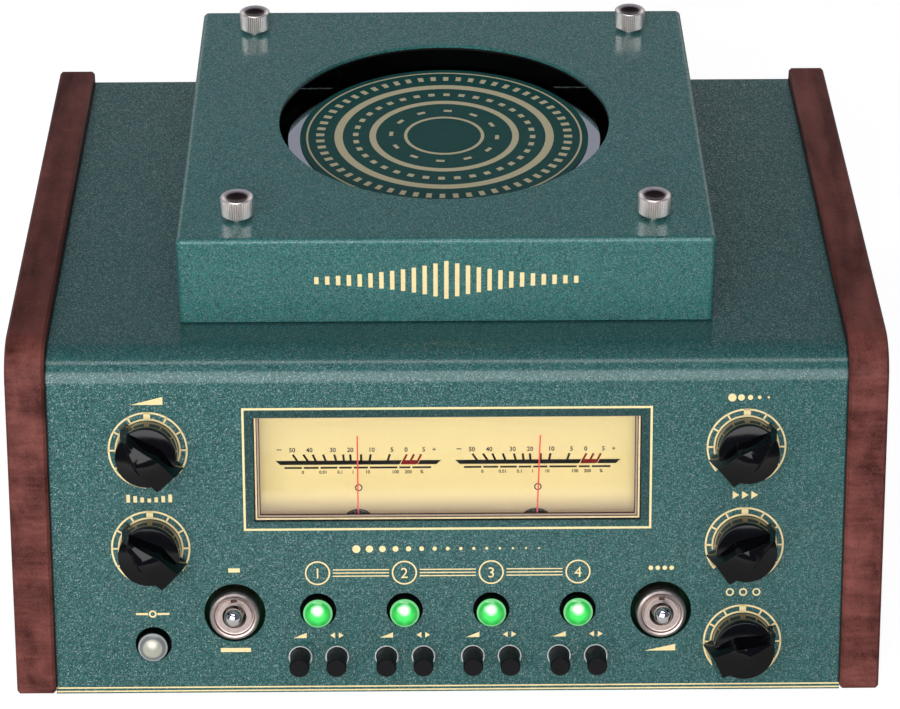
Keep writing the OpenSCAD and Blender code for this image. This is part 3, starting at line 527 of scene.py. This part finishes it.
class EchoSizes(bpy.types.PropertyGroup):
    """Sizes of the small pieces and prints."""

    ring_outer: length("Dial ring", "Outer radius of a knob's printed ring, in mm", 13.64, 12.9)
    ring_inner: length("Inner dial ring", "Radius of a knob's inner ring, in mm", 11.0, 10)
    ring_line: length("Ring line", "Width of the rings' lines, in mm", 0.62, 0.2)
    ink_height: length("Ink height", "Thickness of a print, in mm", 0.04, 0.01)
    knob_edge: length("Knob edge", "Rounding of a knob's edges, in mm", 0.35, 0.05)


class EchoColours(bpy.types.PropertyGroup):
    """Colours of the finishes."""

    paint: tint("Paint", "Metal-flake paint", 34, 84, 82)
    print: tint("Print", "Ink on the panel", 250, 228, 172)
    wood_dark: tint("Dark wood", "Dark layers of the cheeks", 56, 24, 21)
    wood_light: tint("Light wood", "Light layers of the cheeks", 128, 74, 68)
    lit: tint("Lit buttons", "Glow of the lit buttons", 60, 225, 95)
    dial: tint("Dial", "Backlit meter dial", 250, 226, 160)
    disc_print: tint("Disc print", "Print on the drum's disc", 206, 196, 164)


def sizes():
    return bpy.context.scene.echo_sizes


def colours():
    return bpy.context.scene.echo_colours


class ECHO_OT_stage(bpy.types.Operator):
    """Camera, lamps, floor and background"""

    bl_idname = "echo.stage"
    bl_label = "Stage"

    def execute(self, context):
        scene = context.scene
        scene.view_settings.view_transform = "Standard"
        self.camera(scene)
        self.lamp(scene, "front_softbox", (-0.5, -1.95, 0.88), (0, 0, 0.08), 2.4, 1.25, 46.0)
        self.lamp(scene, "upper_strip", (-0.1, -0.67, 1.5), (0, -0.08, 0.115), 1.4, 0.22, 5.5)
        self.room(scene)
        self.floor(scene)
        return {"FINISHED"}

    def camera(self, scene):
        """The camera, from a focal length in pixels, its angles and its offset from the panel."""
        focal_px, picture_px, sensor_mm = 3153.05, 900, 36.0
        offset = (-0.007896, -0.871304, 0.683802)
        camera = bpy.data.cameras.new("camera")
        camera.sensor_width = sensor_mm
        camera.lens = sensor_mm * focal_px / picture_px
        camera.clip_start, camera.clip_end = 0.05, 20
        pitch, yaw, roll = (math.radians(a) for a in (32.033, 0.564, -0.035))
        level = math.cos(pitch)
        ahead = np.array([math.sin(yaw) * level, math.cos(yaw) * level, -math.sin(pitch)])
        flat_right = np.array([math.cos(yaw), -math.sin(yaw), 0])
        flat_over = np.cross(flat_right, ahead)
        right = math.cos(roll) * flat_right + math.sin(roll) * flat_over
        over = math.cos(roll) * flat_over - math.sin(roll) * flat_right
        stand = bpy.data.objects.new("camera", camera)
        scene.collection.objects.link(stand)
        axes = np.c_[right, over, -ahead, PANEL + offset]
        stand.matrix_world = Matrix(np.r_[axes, [[0, 0, 0, 1]]].tolist())
        scene.camera = stand

    def room(self, scene):
        """White to the camera and through glass, dim as light, and in gloss dark in front and above."""
        scene.world = scene.world or bpy.data.worlds.new("world")
        scene.world.use_nodes = True
        room = Finish.of_tree(scene.world.node_tree)
        white, dim, dark = (1, 1, 1), (0.11, 0.11, 0.113), (0.1, 0.12, 0.19)
        path = room.add("LightPath").socket.node.outputs
        kinds = ("Camera", "Glossy", "Transmission")
        camera_ray, glossy_ray, glass_ray = (Wire(room, path[f"Is {k} Ray"]) for k in kinds)
        _, ahead_way, up_way = room.split(room.add("TexCoord", output="Generated"))
        behind = ahead_way.between(-0.1, 0.3) * (1.0 - up_way.between(0.25, 0.45) * 0.8)
        shine = room.mix(behind, dark, white)
        tone = room.mix(glossy_ray, dim, shine)
        tone = room.mix(camera_ray.math("MAXIMUM", glass_ray), tone, white)
        room.join(tone, scene.world.node_tree.nodes["Background"].inputs["Color"])

    def floor(self, scene):
        """A pale floor, lifted to white for the camera."""
        half, glow_strength, glow_share = 4, 1.27, 0.72
        f = Finish("pale_floor", Roughness=0.9)
        f.feed("Base Color", f.mix(f.noise(f.place(), 4.0), (0.84, 0.84, 0.84), (0.88, 0.88, 0.88)))
        glow = f.add("Emission", None, {"Color": (1, 1, 1), "Strength": glow_strength})
        look = f.add("LightPath", None, None, "Is Camera Ray")
        matt = Wire(f, f.shader.outputs[0])
        floor_mix = f.add("MixShader", None, {0: look * glow_share, 1: matt, 2: glow})
        f.tree.links.new(floor_mix.socket, f.tree.nodes["Material Output"].inputs["Surface"])
        mesh = bpy.data.meshes.new("floor")
        corners = [(-half, -half, 0), (half, -half, 0), (half, half, 0), (-half, half, 0)]
        mesh.from_pydata(corners, [], [(0, 1, 2, 3)])
        mesh.materials.append(f.material)
        floor = bpy.data.objects.new("floor", mesh)
        scene.collection.objects.link(floor)

    def lamp(self, scene, name, spot, target, wide, tall, watts):
        """A soft rectangular lamp that faces a point."""
        light = bpy.data.lights.new(name, "AREA")
        light.shape, light.size, light.size_y, light.energy = "RECTANGLE", wide, tall, watts
        stand = bpy.data.objects.new(name, light)
        stand.location = spot
        stand.rotation_euler = (Vector(target) - Vector(spot)).to_track_quat("-Z", "Y").to_euler()
        scene.collection.objects.link(stand)


class ECHO_OT_case(bpy.types.Operator):
    """Painted case, base, screws and feet"""

    bl_idname = "echo.case"
    bl_label = "Case"

    def execute(self, context):
        # Dark teal for the case paint's painted shade, at the sheet's edge and in the window's recess
        painted_shade_colour = (0.001, 0.018, 0.0175)
        paint = flake_paint("green_flake_paint", colours().paint, case_shade, painted_shade_colour)
        dress(paint, "case_wrap")
        dress(flake_paint("green_rear_paint", colours().paint), "rear_panel")
        dress(plastic("black_coated_steel", srgb(24, 24, 26), 0.5, 1400.0), "base_plate", "meter_case")
        dress(metal("zinc_screws", srgb(196, 196, 194), 0.3), "case_screws")
        dress(plastic("black_rubber", srgb(22, 22, 22), 0.8, 1100.0, 0.00008), "feet")
        return {"FINISHED"}


class ECHO_OT_cheeks(bpy.types.Operator):
    """Wooden cheeks"""

    bl_idname = "echo.cheeks"
    bl_label = "Cheeks"

    def execute(self, context):
        wood = cheek_wood("dark_cheek_wood", colours().wood_dark, colours().wood_light)
        dress(wood, "left_cheek", "right_cheek")
        return {"FINISHED"}


class ECHO_OT_panel_print(bpy.types.Operator):
    """Printed rings, signs, numbers and lines on the panel"""

    bl_idname = "echo.panel_print"
    bl_label = "Panel print"

    def execute(self, context):
        s = sizes()
        low, high = INK_FOOT, s.ink_height
        parts = []
        for i, at in enumerate(KNOBS):
            parts += self.dial_ring(np.array(at), (-176, 128) if i < 2 else (-130, 150))

        def wedge(u, v, w, h):
            corners = [(u - w / 2, v - h / 2), (u + w / 2, v - h / 2), (u + w / 2, v + h / 2)]
            return plate(corners, low, high)

        def dash(u, v, w, h=0.75):
            return bar(u - w / 2, v, u + w / 2, v, h, low, high)

        def dot(u, v, r):
            return disc((u, v), r, low, high, 28)

        def arrow(u, v, way, size):
            back, tip, half = u - way * size / 2, u + way * size / 2, size * 0.62
            return plate([(back, v - half), (tip, v), (back, v + half)][::way], low, high)

        left, right = KNOBS[0][0], KNOBS[2][0]
        top_v, middle_v, bottom_v = 106.3, 70.0, 36.0
        parts.append(wedge(left, top_v, 11, 2.8))
        for k, h in enumerate((2.8, 2.3, 1.8, 1.4, 1.8, 2.3, 2.8)):
            u = left - 7.2 + 2.4 * k
            parts.append(bar(u, middle_v, u, middle_v + h, 1.25, low, high))
        parts += [dot(right - 5.2 + 3.1 * k, top_v, r) for k, r in enumerate((1.4, 1.15, 0.9, 0.62, 0.4))]
        parts += [arrow(right + d, middle_v + 1.4, 1, 2.3) for d in (-3.2, 0.0, 3.2)]
        parts += [hoop((right - 4.6 + 4.6 * k, bottom_v), 0.9, 1.42, low, high, 32) for k in range(3)]

        u, bypass_v = BYPASS[0], 29.3
        parts += [dash(u - 3.7, bypass_v, 4.2), dash(u + 3.7, bypass_v, 4.2)]
        parts.append(hoop((u, bypass_v), 0.75, 1.35, low, high, 32))
        u, over_v, under_v = abs(TOGGLES[0][0]), 45.1, 15.8
        parts += [dash(-u, over_v, 4.0, 1.5), dash(-u, under_v, 10.5, 1.5)]
        parts += [dot(u - 3.6 + 2.4 * k, over_v, 0.8) for k in range(4)]
        parts.append(wedge(u, under_v, 10.5, 2.4))
        trim_v = 21.0
        parts += [wedge(u, trim_v, 4.6, 1.9) for u, _ in TRIMS[::2]]
        for u, _ in TRIMS[1::2]:
            parts += [arrow(u - 1.5, trim_v, -1, 1.7), arrow(u + 1.5, trim_v, 1, 1.7)]

        number_v = 43.9
        for k, u in enumerate(BUTTON_US):
            parts.append(hoop((u, number_v), 3.85, 4.35, low, high, 64))
            parts.append(figures(str(k + 1), 3.9, u, number_v, low, high))
            if k < 3:
                lines = [number_v + d for d in (-1.15, 0, 1.15)]
                parts += [bar(u + 5.3, v, u + 24.7, v, 0.38, low, high) for v in lines]
        row_v, row_w, row_count = 52.6, 63, 15
        for k in range(row_count):
            parts.append(dot(-row_w / 2 + row_w * k / (row_count - 1), row_v, 1.4 * 0.9 ** k))

        frame_w, frame_low, frame_high, frame_line = 70.1, 59.5, 103.5, 0.75

        def frame_corners(inset):
            w, b, t = frame_w - inset, frame_low + inset, frame_high - inset
            return np.array([(-w, b), (w, b), (w, t), (-w, t)])

        parts.append(band(frame_corners(frame_line), frame_corners(0), low, high, True))
        half = 1000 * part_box("case_wrap")[1].x - 0.05
        parts += [bar(-half, v, half, v, 0.5, low, high) for v in (0.75, 2.05)]
        cream = ink("cream_ink", colours().print)
        make_piece("panel_print", parts, on_panel, cream, "case")
        return {"FINISHED"}

    def dial_ring(self, at, ends):
        """A knob's two rings and the marks between them."""
        s = sizes()
        low, high, line = INK_FOOT, s.ink_height, s.ring_line
        inner, half = s.ring_inner, line / 2
        parts = [arc_band(at, s.ring_outer - line, s.ring_outer, *ends, low, high, 120),
                 arc_band(at, inner - half, inner + half, -122, 122, low, high, 96)]
        for a in range(-120, 121, 30):
            width = 2.3 if a == 0 else line
            parts.append(turned(bar(0, inner, 0, s.ring_outer - 0.1, width, low, high), a, at))
        return parts


class ECHO_OT_rear_print(bpy.types.Operator):
    """Printed signs over the sockets on the rear panel"""

    bl_idname = "echo.rear_print"
    bl_label = "Rear print"

    def execute(self, context):
        low, high = INK_FOOT, sizes().ink_height
        inlet_low, inlet_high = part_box("power_inlet")
        inlet_u = -500 * (inlet_low.x + inlet_high.x)
        socket_z = 500 * (inlet_low.z + inlet_high.z)
        ring_in, ring_out = 8.7, 9.2
        arrow_v, bar_v, sign_v = socket_z + 13, socket_z + 17.5, socket_z + 14
        parts = []
        for u in (-39.0, -13.0, 13.0, 39.0):
            way = 1 if u < 0 else -1
            foot_v, tip_v = arrow_v - 1.6 * way, arrow_v + 1.8 * way
            parts.append(plate([(u - 2.2, foot_v), (u + 2.2, foot_v), (u, tip_v)][::way], low, high))
            parts.append(bar(u - 4, bar_v, u + 4, bar_v, 0.7, low, high))
            parts.append(hoop((u, socket_z), ring_in, ring_out, low, high))
        parts.append(hoop((inlet_u, socket_z), ring_in, ring_out, low, high))
        parts.append(arc_band(np.array([inlet_u, sign_v]), 2.0, 2.6, 25, 335, low, high))
        parts.append(bar(inlet_u, sign_v, inlet_u, sign_v + 3.2, 0.6, low, high))
        make_piece("rear_print", parts, on_rear, bpy.data.materials["cream_ink"], "case")
        return {"FINISHED"}


class ECHO_OT_knobs(bpy.types.Operator):
    """Pointer knobs"""

    bl_idname = "echo.knobs"
    bl_label = "Knobs"

    def execute(self, context):
        black = plastic("glossy_black_phenolic", srgb(8, 8, 10), 0.07, 500.0, 0.000002, 0.0, 0.32)
        edge = sizes().knob_edge
        low, rim, top = 0.8, 9.5, 16.0
        steps = 25
        way = np.linspace(0, 1, steps)

        def line(beak, middle, tail):
            return np.interp(way, (0, 0.52, 1), (beak, middle, tail))

        def row(x, y, h):
            return np.c_[x, y, np.broadcast_to(h, steps)]

        beak_drop = 2.4 * np.clip((0.4 - way) / 0.4, 0, 1) ** 1.6
        tail_drop = 1.3 * np.clip((way - 0.45) / 0.55, 0, 1) ** 1.6
        drop = beak_drop + tail_drop
        rows = [(line(1.2, 6, 4.8), line(12.3, -1, -12.8), low),
                (line(1.8, 6, 4.7), line(10.6, -1, -11.5), rim + 0.05),
                (line(0.5, 3.9, 4.0), line(9.4, -2.4, -10.5), top - drop)]
        sides = [row(x, y, h) for x, y, h in rows]
        ridge = row(0 * way, rows[2][1], top + 0.25 - drop)
        others = [row(-x, y, h) for x, y, h in rows[::-1]]
        bar_part = sheet_of(np.stack(sides + [ridge] + others), round_rows=True, caps=True)
        foot_round, rim_round, skirt_r = 0.3, 0.4, 10.45
        base = [(7.4, low), (10.35, low)]
        base = bent(base, (10.3, low + foot_round), foot_round, -60, 0, 4)
        base.append((skirt_r, rim - rim_round))
        base = bent(base, (skirt_r - rim_round, rim - rim_round), rim_round, 0, 90, 6)
        base += [(3.0, rim), (0, rim)]
        for name, (u, v), turn in zip(KNOB_NAMES, KNOBS, KNOB_TURNS):
            parts = [turned(bar_part, turn, (u, v)), lathe(base, (u, v))]
            knob = make_piece(name + "_body", parts, on_panel, black, name, 20)
            rounding = knob.modifiers.new("edges", "BEVEL")
            rounding.width, rounding.segments, rounding.limit_method = edge / 1000, 3, "ANGLE"
            rounding.angle_limit, rounding.harden_normals = math.radians(12), True
            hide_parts(name)
        return {"FINISHED"}


class ECHO_OT_buttons(bpy.types.Operator):
    """Lit buttons and the unlit one"""

    bl_idname = "echo.buttons"
    bl_label = "Buttons"

    def execute(self, context):
        lit = colours().lit
        rim_h, below, above = 0.0031, 0.0003, 0.0002
        f = Finish("lit_green_plastic", Roughness=0.14, IOR=1.49, Coat_Weight=0.4, Coat_Roughness=0.05,
                   Emission_Strength=1.0)
        u, v, h = f.panel_coordinates()
        pitch = (BUTTON_US[1] - BUTTON_US[0]) / 1000
        beside = (u / pitch).math("FRACT") * pitch - pitch / 2
        reach, spot = self.reaches(f, beside, v - BUTTON_V / 1000)
        face = h.between(rim_h - below, rim_h + above)
        wall = f.mix(f.noise(f.place(), 800.0), (0.003, 0.006, 0.004), (0.006, 0.012, 0.008))
        f.feed("Base Color", f.mix(face, wall, [c * 0.3 for c in lit]))
        glow = f.mix(reach.between(1.6, 4.3), lit, [c * 0.35 for c in lit])
        glow = f.mix(reach.between(4.2, 4.6), glow, srgb(120, 190, 132))
        # Painted highlight: a near-white spot a little above the axis, added to the button's glow.
        glow = f.mix(1.0 - spot.between(0.9, 2.6), glow, (0.9, 1.0, 0.9))
        f.feed("Emission Color", f.mix(face, (0, 0, 0), glow))
        dress(f.material, *[f"head_button_{i}" for i in (1, 2, 3, 4)])
        f = Finish("milky_plastic", IOR=1.49, Coat_Weight=0.4, Coat_Roughness=0.06)
        u, v, h = f.panel_coordinates()
        reach, spot = self.reaches(f, u - BYPASS[0] / 1000, v - BYPASS[1] / 1000)
        face = h.between(rim_h - below, rim_h + above)
        cloud = f.noise(f.place(), 300.0, 3.0)
        tone = f.mix(reach.between(3.0, 3.7), srgb(168, 168, 154), srgb(112, 116, 118))
        tone = f.mix(reach.between(4.3, 4.7), tone, srgb(165, 170, 170))
        # Painted highlight: a pale spot a little above the button's axis.
        tone = f.mix(1.0 - spot.between(0.6, 2.2), tone, srgb(222, 218, 200))
        tone = f.mix(cloud * 0.12, tone, (0.2, 0.2, 0.2))
        f.feed("Base Color", f.mix(face, (0.004, 0.004, 0.005), tone))
        f.feed("Roughness", 0.2 + cloud * 0.1)
        dress(f.material, "bypass_button")
        dress(plastic("black_switch_plastic", srgb(18, 18, 19), 0.5), "button_switches")
        return {"FINISHED"}

    def reaches(self, f, x, y):
        """Distances in mm from a button's axis, and from a painted highlight's spot a little above it."""
        reach = (x * x + y * y).math("SQRT") * 1000
        painted_highlight_up = 0.0016
        y = y - painted_highlight_up
        return reach, (x * x + y * y).math("SQRT") * 1000


class ECHO_OT_toggles(bpy.types.Operator):
    """Toggle switches"""

    bl_idname = "echo.toggles"
    bl_label = "Toggles"

    def execute(self, context):
        dress(metal("satin_nickel", srgb(186, 170, 164), 0.36, relief=0.0), "toggle_switches")
        chrome = metal("lever_chrome", srgb(226, 222, 220), 0.09, relief=0.0)
        dress(chrome, "left_lever", "right_lever")
        a = np.linspace(0, np.pi, 33)
        ball_r = 3.1
        ball = lathe(ball_r * np.c_[np.sin(a), np.cos(a)], steps=48)
        for name in ("left_lever", "right_lever"):
            pivot = np.array(JOINTS[name + "_tilt"]["pos_m"])
            points = node_points(name) - pivot
            reach = points @ OUT
            tip = points[reach.argmax()]
            way = tip / np.linalg.norm(tip)
            middle = pivot + tip - ball_r / 1000 * way
            make_piece(name + "_tip", [ball], lambda p: middle + p / 1000, chrome, name)
        return {"FINISHED"}


class ECHO_OT_trims(bpy.types.Operator):
    """Trim shafts and their collars"""

    bl_idname = "echo.trims"
    bl_label = "Trims"

    def execute(self, context):
        black = plastic("matt_black_plastic", srgb(20, 20, 22), 0.42, 1600.0, shine=0.12)
        dress(black, *[f"trim_{i}" for i in range(1, 9)])
        steel = metal("collar_steel", srgb(206, 208, 206), 0.5)
        parts = [hoop(t, 3.7, 4.12, -1.2, 0.08, 48) for t in TRIMS]
        make_piece("trim_collars", parts, on_panel, steel, "case")
        return {"FINISHED"}


class ECHO_OT_meter(bpy.types.Operator):
    """Twin meter: dial, scales, needles, hub domes, window frame and lens"""

    bl_idname = "echo.meter"
    bl_label = "Meter"

    def execute(self, context):
        cream = colours().dial
        f = Finish("backlit_dial", Roughness=0.6, Specular_IOR_Level=0.1, Emission_Strength=0.56)
        u, v, _ = f.panel_coordinates()
        half_w, bottom, top = 0.0702, 0.0575, 0.1030
        side = half_w - u.math("ABSOLUTE")
        rise = v - bottom
        drop = top - v
        # Painted shade: the dial's glow turns darker and browner towards the window's edges.
        shade = side.between(-0.001, 0.0085) * rise.between(0.001, 0.0115) * drop.between(-0.008, 0.007)
        paper = f.mix(f.noise(f.place(), 900.0, 3.0), [c * 0.95 for c in cream], cream)
        glow = f.mix(shade, srgb(150, 122, 104), paper)
        f.feed("Base Color", f.mix(0.5, glow, (0, 0, 0)))
        f.feed("Emission Color", glow)
        dress(f.material, "meter_dial")
        self.scales()
        self.window_frame()
        # The needles glow a little, though they hold no lamp: painted light for the light that the lens
        # keeps from them.
        f = Finish("red_lacquer", IOR=1.5, Emission_Strength=0.35)
        tone = f.mix(f.noise(f.place(), 900.0), srgb(205, 40, 40), srgb(235, 64, 58))
        f.feed("Base Color", tone)
        f.feed("Emission Color", tone)
        f.feed("Roughness", 0.3 + f.noise(f.place(), 500.0) * 0.1)
        dress(f.material, "left_needle", "right_needle")
        dome = plastic("black_meter_plastic", srgb(16, 16, 17), 0.14, 700.0, 0.000006, 0.4)
        dress(dome, "meter_movements")
        f = Finish("clear_lens", Roughness=0.0, IOR=1.45, Transmission_Weight=1.0)
        f.feed("Base Color", f.mix(f.noise(f.place(), 30.0), (0.985, 0.99, 0.985), (1, 1, 1)))
        dress(f.material, "meter_lens")
        return {"FINISHED"}

    def scales(self):
        """Print of the two scales: a bar with leaning ends, ticks, a lower bar in lengths, and figures."""
        low, high = DIAL_H + INK_FOOT, DIAL_H + 0.05
        bar_low, bar_high, tick_high, lower_v, ring_v = 79.0, 80.5, 82.7, 77.9, 70.6
        upper_figures_v, lower_figures_v, bold = 84.4, 76.35, 0.022
        tops = (-53.92, -50.25, -47.01, -43.42, -39.57, -36.5, -34.04, -30.27, -26.9, -20.32)
        feet = (-52.31, -48.68, -45.95, -42.49, -38.9, -36.22, -33.84, -30.29, -27.35, -21.08)
        red_ticks = ((-14.4, -16.2), (-11.95, -13.7), (-9.45, -11.1))
        cuts = (-57.2, -50.5, -44.7, -38.2, -33.2, -27.6, -17.4, -12.9, -5.7)
        upper_figures = (("50", -54.1), ("40", -48.15), ("30", -40.0), ("20", -34.0), ("10", -26.45),
                         ("5", -19.6), ("0", -14.7), ("5", -8.6), ("+", -5.0))
        lower_figures = (("0", -50.5), ("0.01", -43.6), ("0.1", -37.7), ("1", -33.1), ("10", -27.9),
                         ("100", -18.3), ("200", -14.0), ("%", -9.3))
        black, red = [], []
        for o in (0.5, 62.7):

            def leaning(foot_start, foot_end, top_start, top_end):
                foot = [(foot_start + o, bar_low), (foot_end + o, bar_low)]
                return band(foot, [(top_start + o, bar_high), (top_end + o, bar_high)], low, high)

            black.append(leaning(-58.3, -17.0, -59.9, -16.2))
            black.append(leaning(-10.7, -4.2, -9.8, -2.6))
            red.append(leaning(-16.6, -11.2, -15.8, -10.3))
            black += [bar(b + o, 80.3, t + o, tick_high, 0.75, low, high) for t, b in zip(tops, feet)]
            red += [bar(b + o, 79.2, t + o, 82.6, 0.7, low, high) for t, b in red_ticks]
            black += [bar(a + o + 0.35, lower_v, b + o - 0.35, lower_v, 0.65, low, high)
                      for a, b in zip(cuts, cuts[1:])]
            black.append(bar(-59.4 + o, 84.5, -57.8 + o, 84.5, 0.3, low, high))
            for word, at in upper_figures:
                black.append(figures(word, 1.6, at + o, upper_figures_v, low, high, bold))
            for word, at in lower_figures:
                black.append(figures(word, 1.2, at + o, lower_figures_v, low, high, bold))
            black.append(hoop((-31.2 + o, ring_v), 0.9, 1.3, low, high, 32))
        black_ink, red_ink = ink("black_ink", srgb(14, 10, 8)), ink("red_ink", srgb(140, 12, 8))
        make_piece("dial_print", black, on_panel, black_ink, "case")
        make_piece("dial_red_print", red, on_panel, red_ink, "case")

    def window_frame(self):
        """Stepped frame in the window's opening: thin rings, each set in and below the last."""
        half_w, low, high, floor = 66.35, 62.75, 99.95, -1.9

        def corners(inset):
            w, b, t = half_w - inset, low + inset, high - inset / 4
            return np.array([(-w, b), (w, b), (w, t), (-w, t)])

        def ring(outer, inner, height):
            return band(corners(inner), corners(outer), floor, height, True)

        # The thin black rings are dark lines: the outermost is painted shadow along the window's edge, the
        # inner two are the dark lines between the frame's steps.
        shadow_and_dark_line_rings = [ring(0.0, 0.35, -0.9), ring(0.95, 1.2, -1.2), ring(1.85, 2.1, -1.5)]
        colours_and_rings = {
            "black": (srgb(12, 11, 11), shadow_and_dark_line_rings),
            "cream": (srgb(232, 212, 166), [ring(0.35, 0.95, -1.0)]),
            "grey": (srgb(166, 144, 128), [ring(1.2, 1.85, -1.3)]),
        }
        for name, (colour, rings) in colours_and_rings.items():
            finish = plastic(name + "_frame_plastic", colour, 0.4, 900.0)
            make_piece("meter_frame_" + name, rings, on_panel, finish, "case")


class ECHO_OT_cover(bpy.types.Operator):
    """Print on the drum cover's front"""

    bl_idname = "echo.cover"
    bl_label = "Cover"

    def execute(self, context):
        paler = [1.6 * c for c in colours().paint]
        dress(flake_paint("green_cover_paint", paler, inside_cover), "drum_cover")
        low, high = INK_FOOT, sizes().ink_height
        each_side, spacing, tallest, decay, middle_v = 12, 3.7, 15.0, 0.87, 16.4
        parts = []
        for k in range(-each_side, each_side + 1):
            u, tall = spacing * k, tallest * decay ** abs(k)
            parts.append(bar(u, middle_v - tall / 2, u, middle_v + tall / 2, 1.5, low, high))
        cream = bpy.data.materials["cream_ink"]
        make_piece("cover_print", parts, on_cover_front, cream, "cover")
        return {"FINISHED"}


class ECHO_OT_thumbscrews(bpy.types.Operator):
    """Knurled thumbscrews"""

    bl_idname = "echo.thumbscrews"
    bl_label = "Thumbscrews"

    def execute(self, context):
        f = Finish("turned_nickel", Metallic=1.0)
        where = f.place()
        low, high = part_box("thumbscrew_1")
        x, y, z = f.split(where)
        side = (low.x + high.x) / 2
        ends = [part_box(f"thumbscrew_{i}") for i in (1, 4)]
        front, back = (((e[0].y + e[1].y) / 2) for e in ends)
        x = x.math("ABSOLUTE") - abs(side)
        y = (y - (front + back) / 2).math("ABSOLUTE") - abs(back - front) / 2
        reach = (x * x + y * y).math("SQRT") * 1000
        depth = (high.z - z) * 1000
        dish_in, dish_out, dish_depth, dish_end = 3.2, 4.7, 1.6, 2.0
        # Painted shade: the dished top of each screw is coloured dark maroon.
        painted_dish_shade = (1.0 - reach.between(dish_in, dish_out)) * (1.0 - depth.between(dish_depth, dish_end))
        mark = f.noise(f.moved(where, scale=(1, 1, 3)), 900.0, 3.0)
        pale = f.mix(mark, srgb(232, 218, 214), srgb(252, 242, 238))
        f.feed("Base Color", f.mix(painted_dish_shade, pale, srgb(58, 40, 38)))
        f.feed("Roughness", 0.3 + mark * 0.12 - painted_dish_shade * 0.12)
        dress(f.material, *[f"thumbscrew_{i}" for i in (1, 2, 3, 4)])
        return {"FINISHED"}


class ECHO_OT_drum(bpy.types.Operator):
    """Drum with its polished rim and printed disc"""

    bl_idname = "echo.drum"
    bl_label = "Drum"

    def execute(self, context):
        dress(metal("mirror_drum_metal", srgb(236, 236, 236), 0.05), "drum_body")
        f = Finish("drum_disc_green", IOR=1.3, Specular_IOR_Level=0.25)
        where = f.place()
        cloud = f.noise(where, 400.0, 3.0)
        f.feed("Base Color", f.mix(cloud, srgb(16, 62, 60), srgb(34, 84, 80)))
        f.feed("Roughness", 0.42 + cloud * 0.15)
        dress(f.material, "drum_face")
        low, high = INK_FOOT, sizes().ink_height
        middle = np.zeros(2)
        rings = ((49.8, 0.7), (38.4, 3.0), (26.0, 2.4), (14.0, 1.2))
        marks = ((60, 43.6, 46.6, 0.42), (36, 31.2, 33.2, 0.42), (12, 18.6, 20.0, 0.3))
        parts = [hoop(middle, r - w / 2, r + w / 2, low, high, 128) for r, w in rings]
        for count, r0, r1, share in marks:
            step = 360 / count
            parts += [arc_band(middle, r0, r1, k * step, (k + share) * step, low, high, 4)
                      for k in range(count)]
        beige = ink("beige_ink", colours().disc_print)
        make_piece("drum_print", parts, on_drum, beige, "drum")
        dress(plastic("magnetic_coat", srgb(58, 44, 38), 0.35), "recording_band")
        return {"FINISHED"}


class ECHO_OT_works(bpy.types.Operator):
    """Deck, heads, drive, boards and sockets"""

    bl_idname = "echo.works"
    bl_label = "Works"

    def execute(self, context):
        dress(plastic("black_deck_coat", srgb(16, 16, 17), 0.5, 1200.0), "deck_plate", "head_brackets")
        zinc = metal("zinc_plate", srgb(188, 190, 188), 0.34, scale=(1, 12, 1))
        dress(zinc, "cover_posts", "drive_motor", "drum_pulley", "motor_pulley", "drum_spindle")
        nickel = metal("head_nickel", srgb(205, 204, 200), 0.2)
        dress(nickel, "erase_head", "record_head", "playback_heads")
        dress(metal("bearing_bronze", srgb(176, 138, 78), 0.3), "drum_bearing")
        dress(metal("can_sheet", srgb(170, 170, 166), 0.4), "potentiometers")
        dress(plastic("belt_rubber", srgb(20, 20, 20), 0.7, 900.0), "drive_belt")
        dress(plastic("board_green", srgb(22, 70, 40), 0.35, 1200.0), "main_board", "control_board")
        dress(plastic("socket_black", srgb(20, 20, 21), 0.4), "jack_sockets", "power_inlet")
        return {"FINISHED"}


CLASSES = [
    EchoSizes, EchoColours, ECHO_OT_stage, ECHO_OT_case, ECHO_OT_cheeks, ECHO_OT_panel_print,
    ECHO_OT_rear_print, ECHO_OT_knobs, ECHO_OT_buttons, ECHO_OT_toggles, ECHO_OT_trims, ECHO_OT_meter,
    ECHO_OT_cover, ECHO_OT_thumbscrews, ECHO_OT_drum, ECHO_OT_works,
]
OPERATORS = [c for c in CLASSES if issubclass(c, bpy.types.Operator)]


class ECHO_PT_pieces(bpy.types.Panel):
    """Lists the pieces of the drum echo"""

    bl_idname = "ECHO_PT_pieces"
    bl_label = "Drum echo"
    bl_space_type = "VIEW_3D"
    bl_region_type = "UI"
    bl_category = "Drum echo"

    def draw(self, context):
        for group in (context.scene.echo_sizes, context.scene.echo_colours):
            for name in group.__annotations__:
                self.layout.prop(group, name)
        for operator in OPERATORS:
            self.layout.operator(operator.bl_idname)


def register():
    for c in CLASSES + [ECHO_PT_pieces]:
        bpy.utils.register_class(c)
    bpy.types.Scene.echo_sizes = PointerProperty(type=EchoSizes)
    bpy.types.Scene.echo_colours = PointerProperty(type=EchoColours)


def unregister():
    del bpy.types.Scene.echo_sizes, bpy.types.Scene.echo_colours
    for c in reversed(CLASSES + [ECHO_PT_pieces]):
        bpy.utils.unregister_class(c)


def main():
    """Registers the classes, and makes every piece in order."""
    register()
    for operator in OPERATORS:
        group, name = operator.bl_idname.split(".")
        getattr(getattr(bpy.ops, group), name)()


if __name__ == "__main__":
    main()
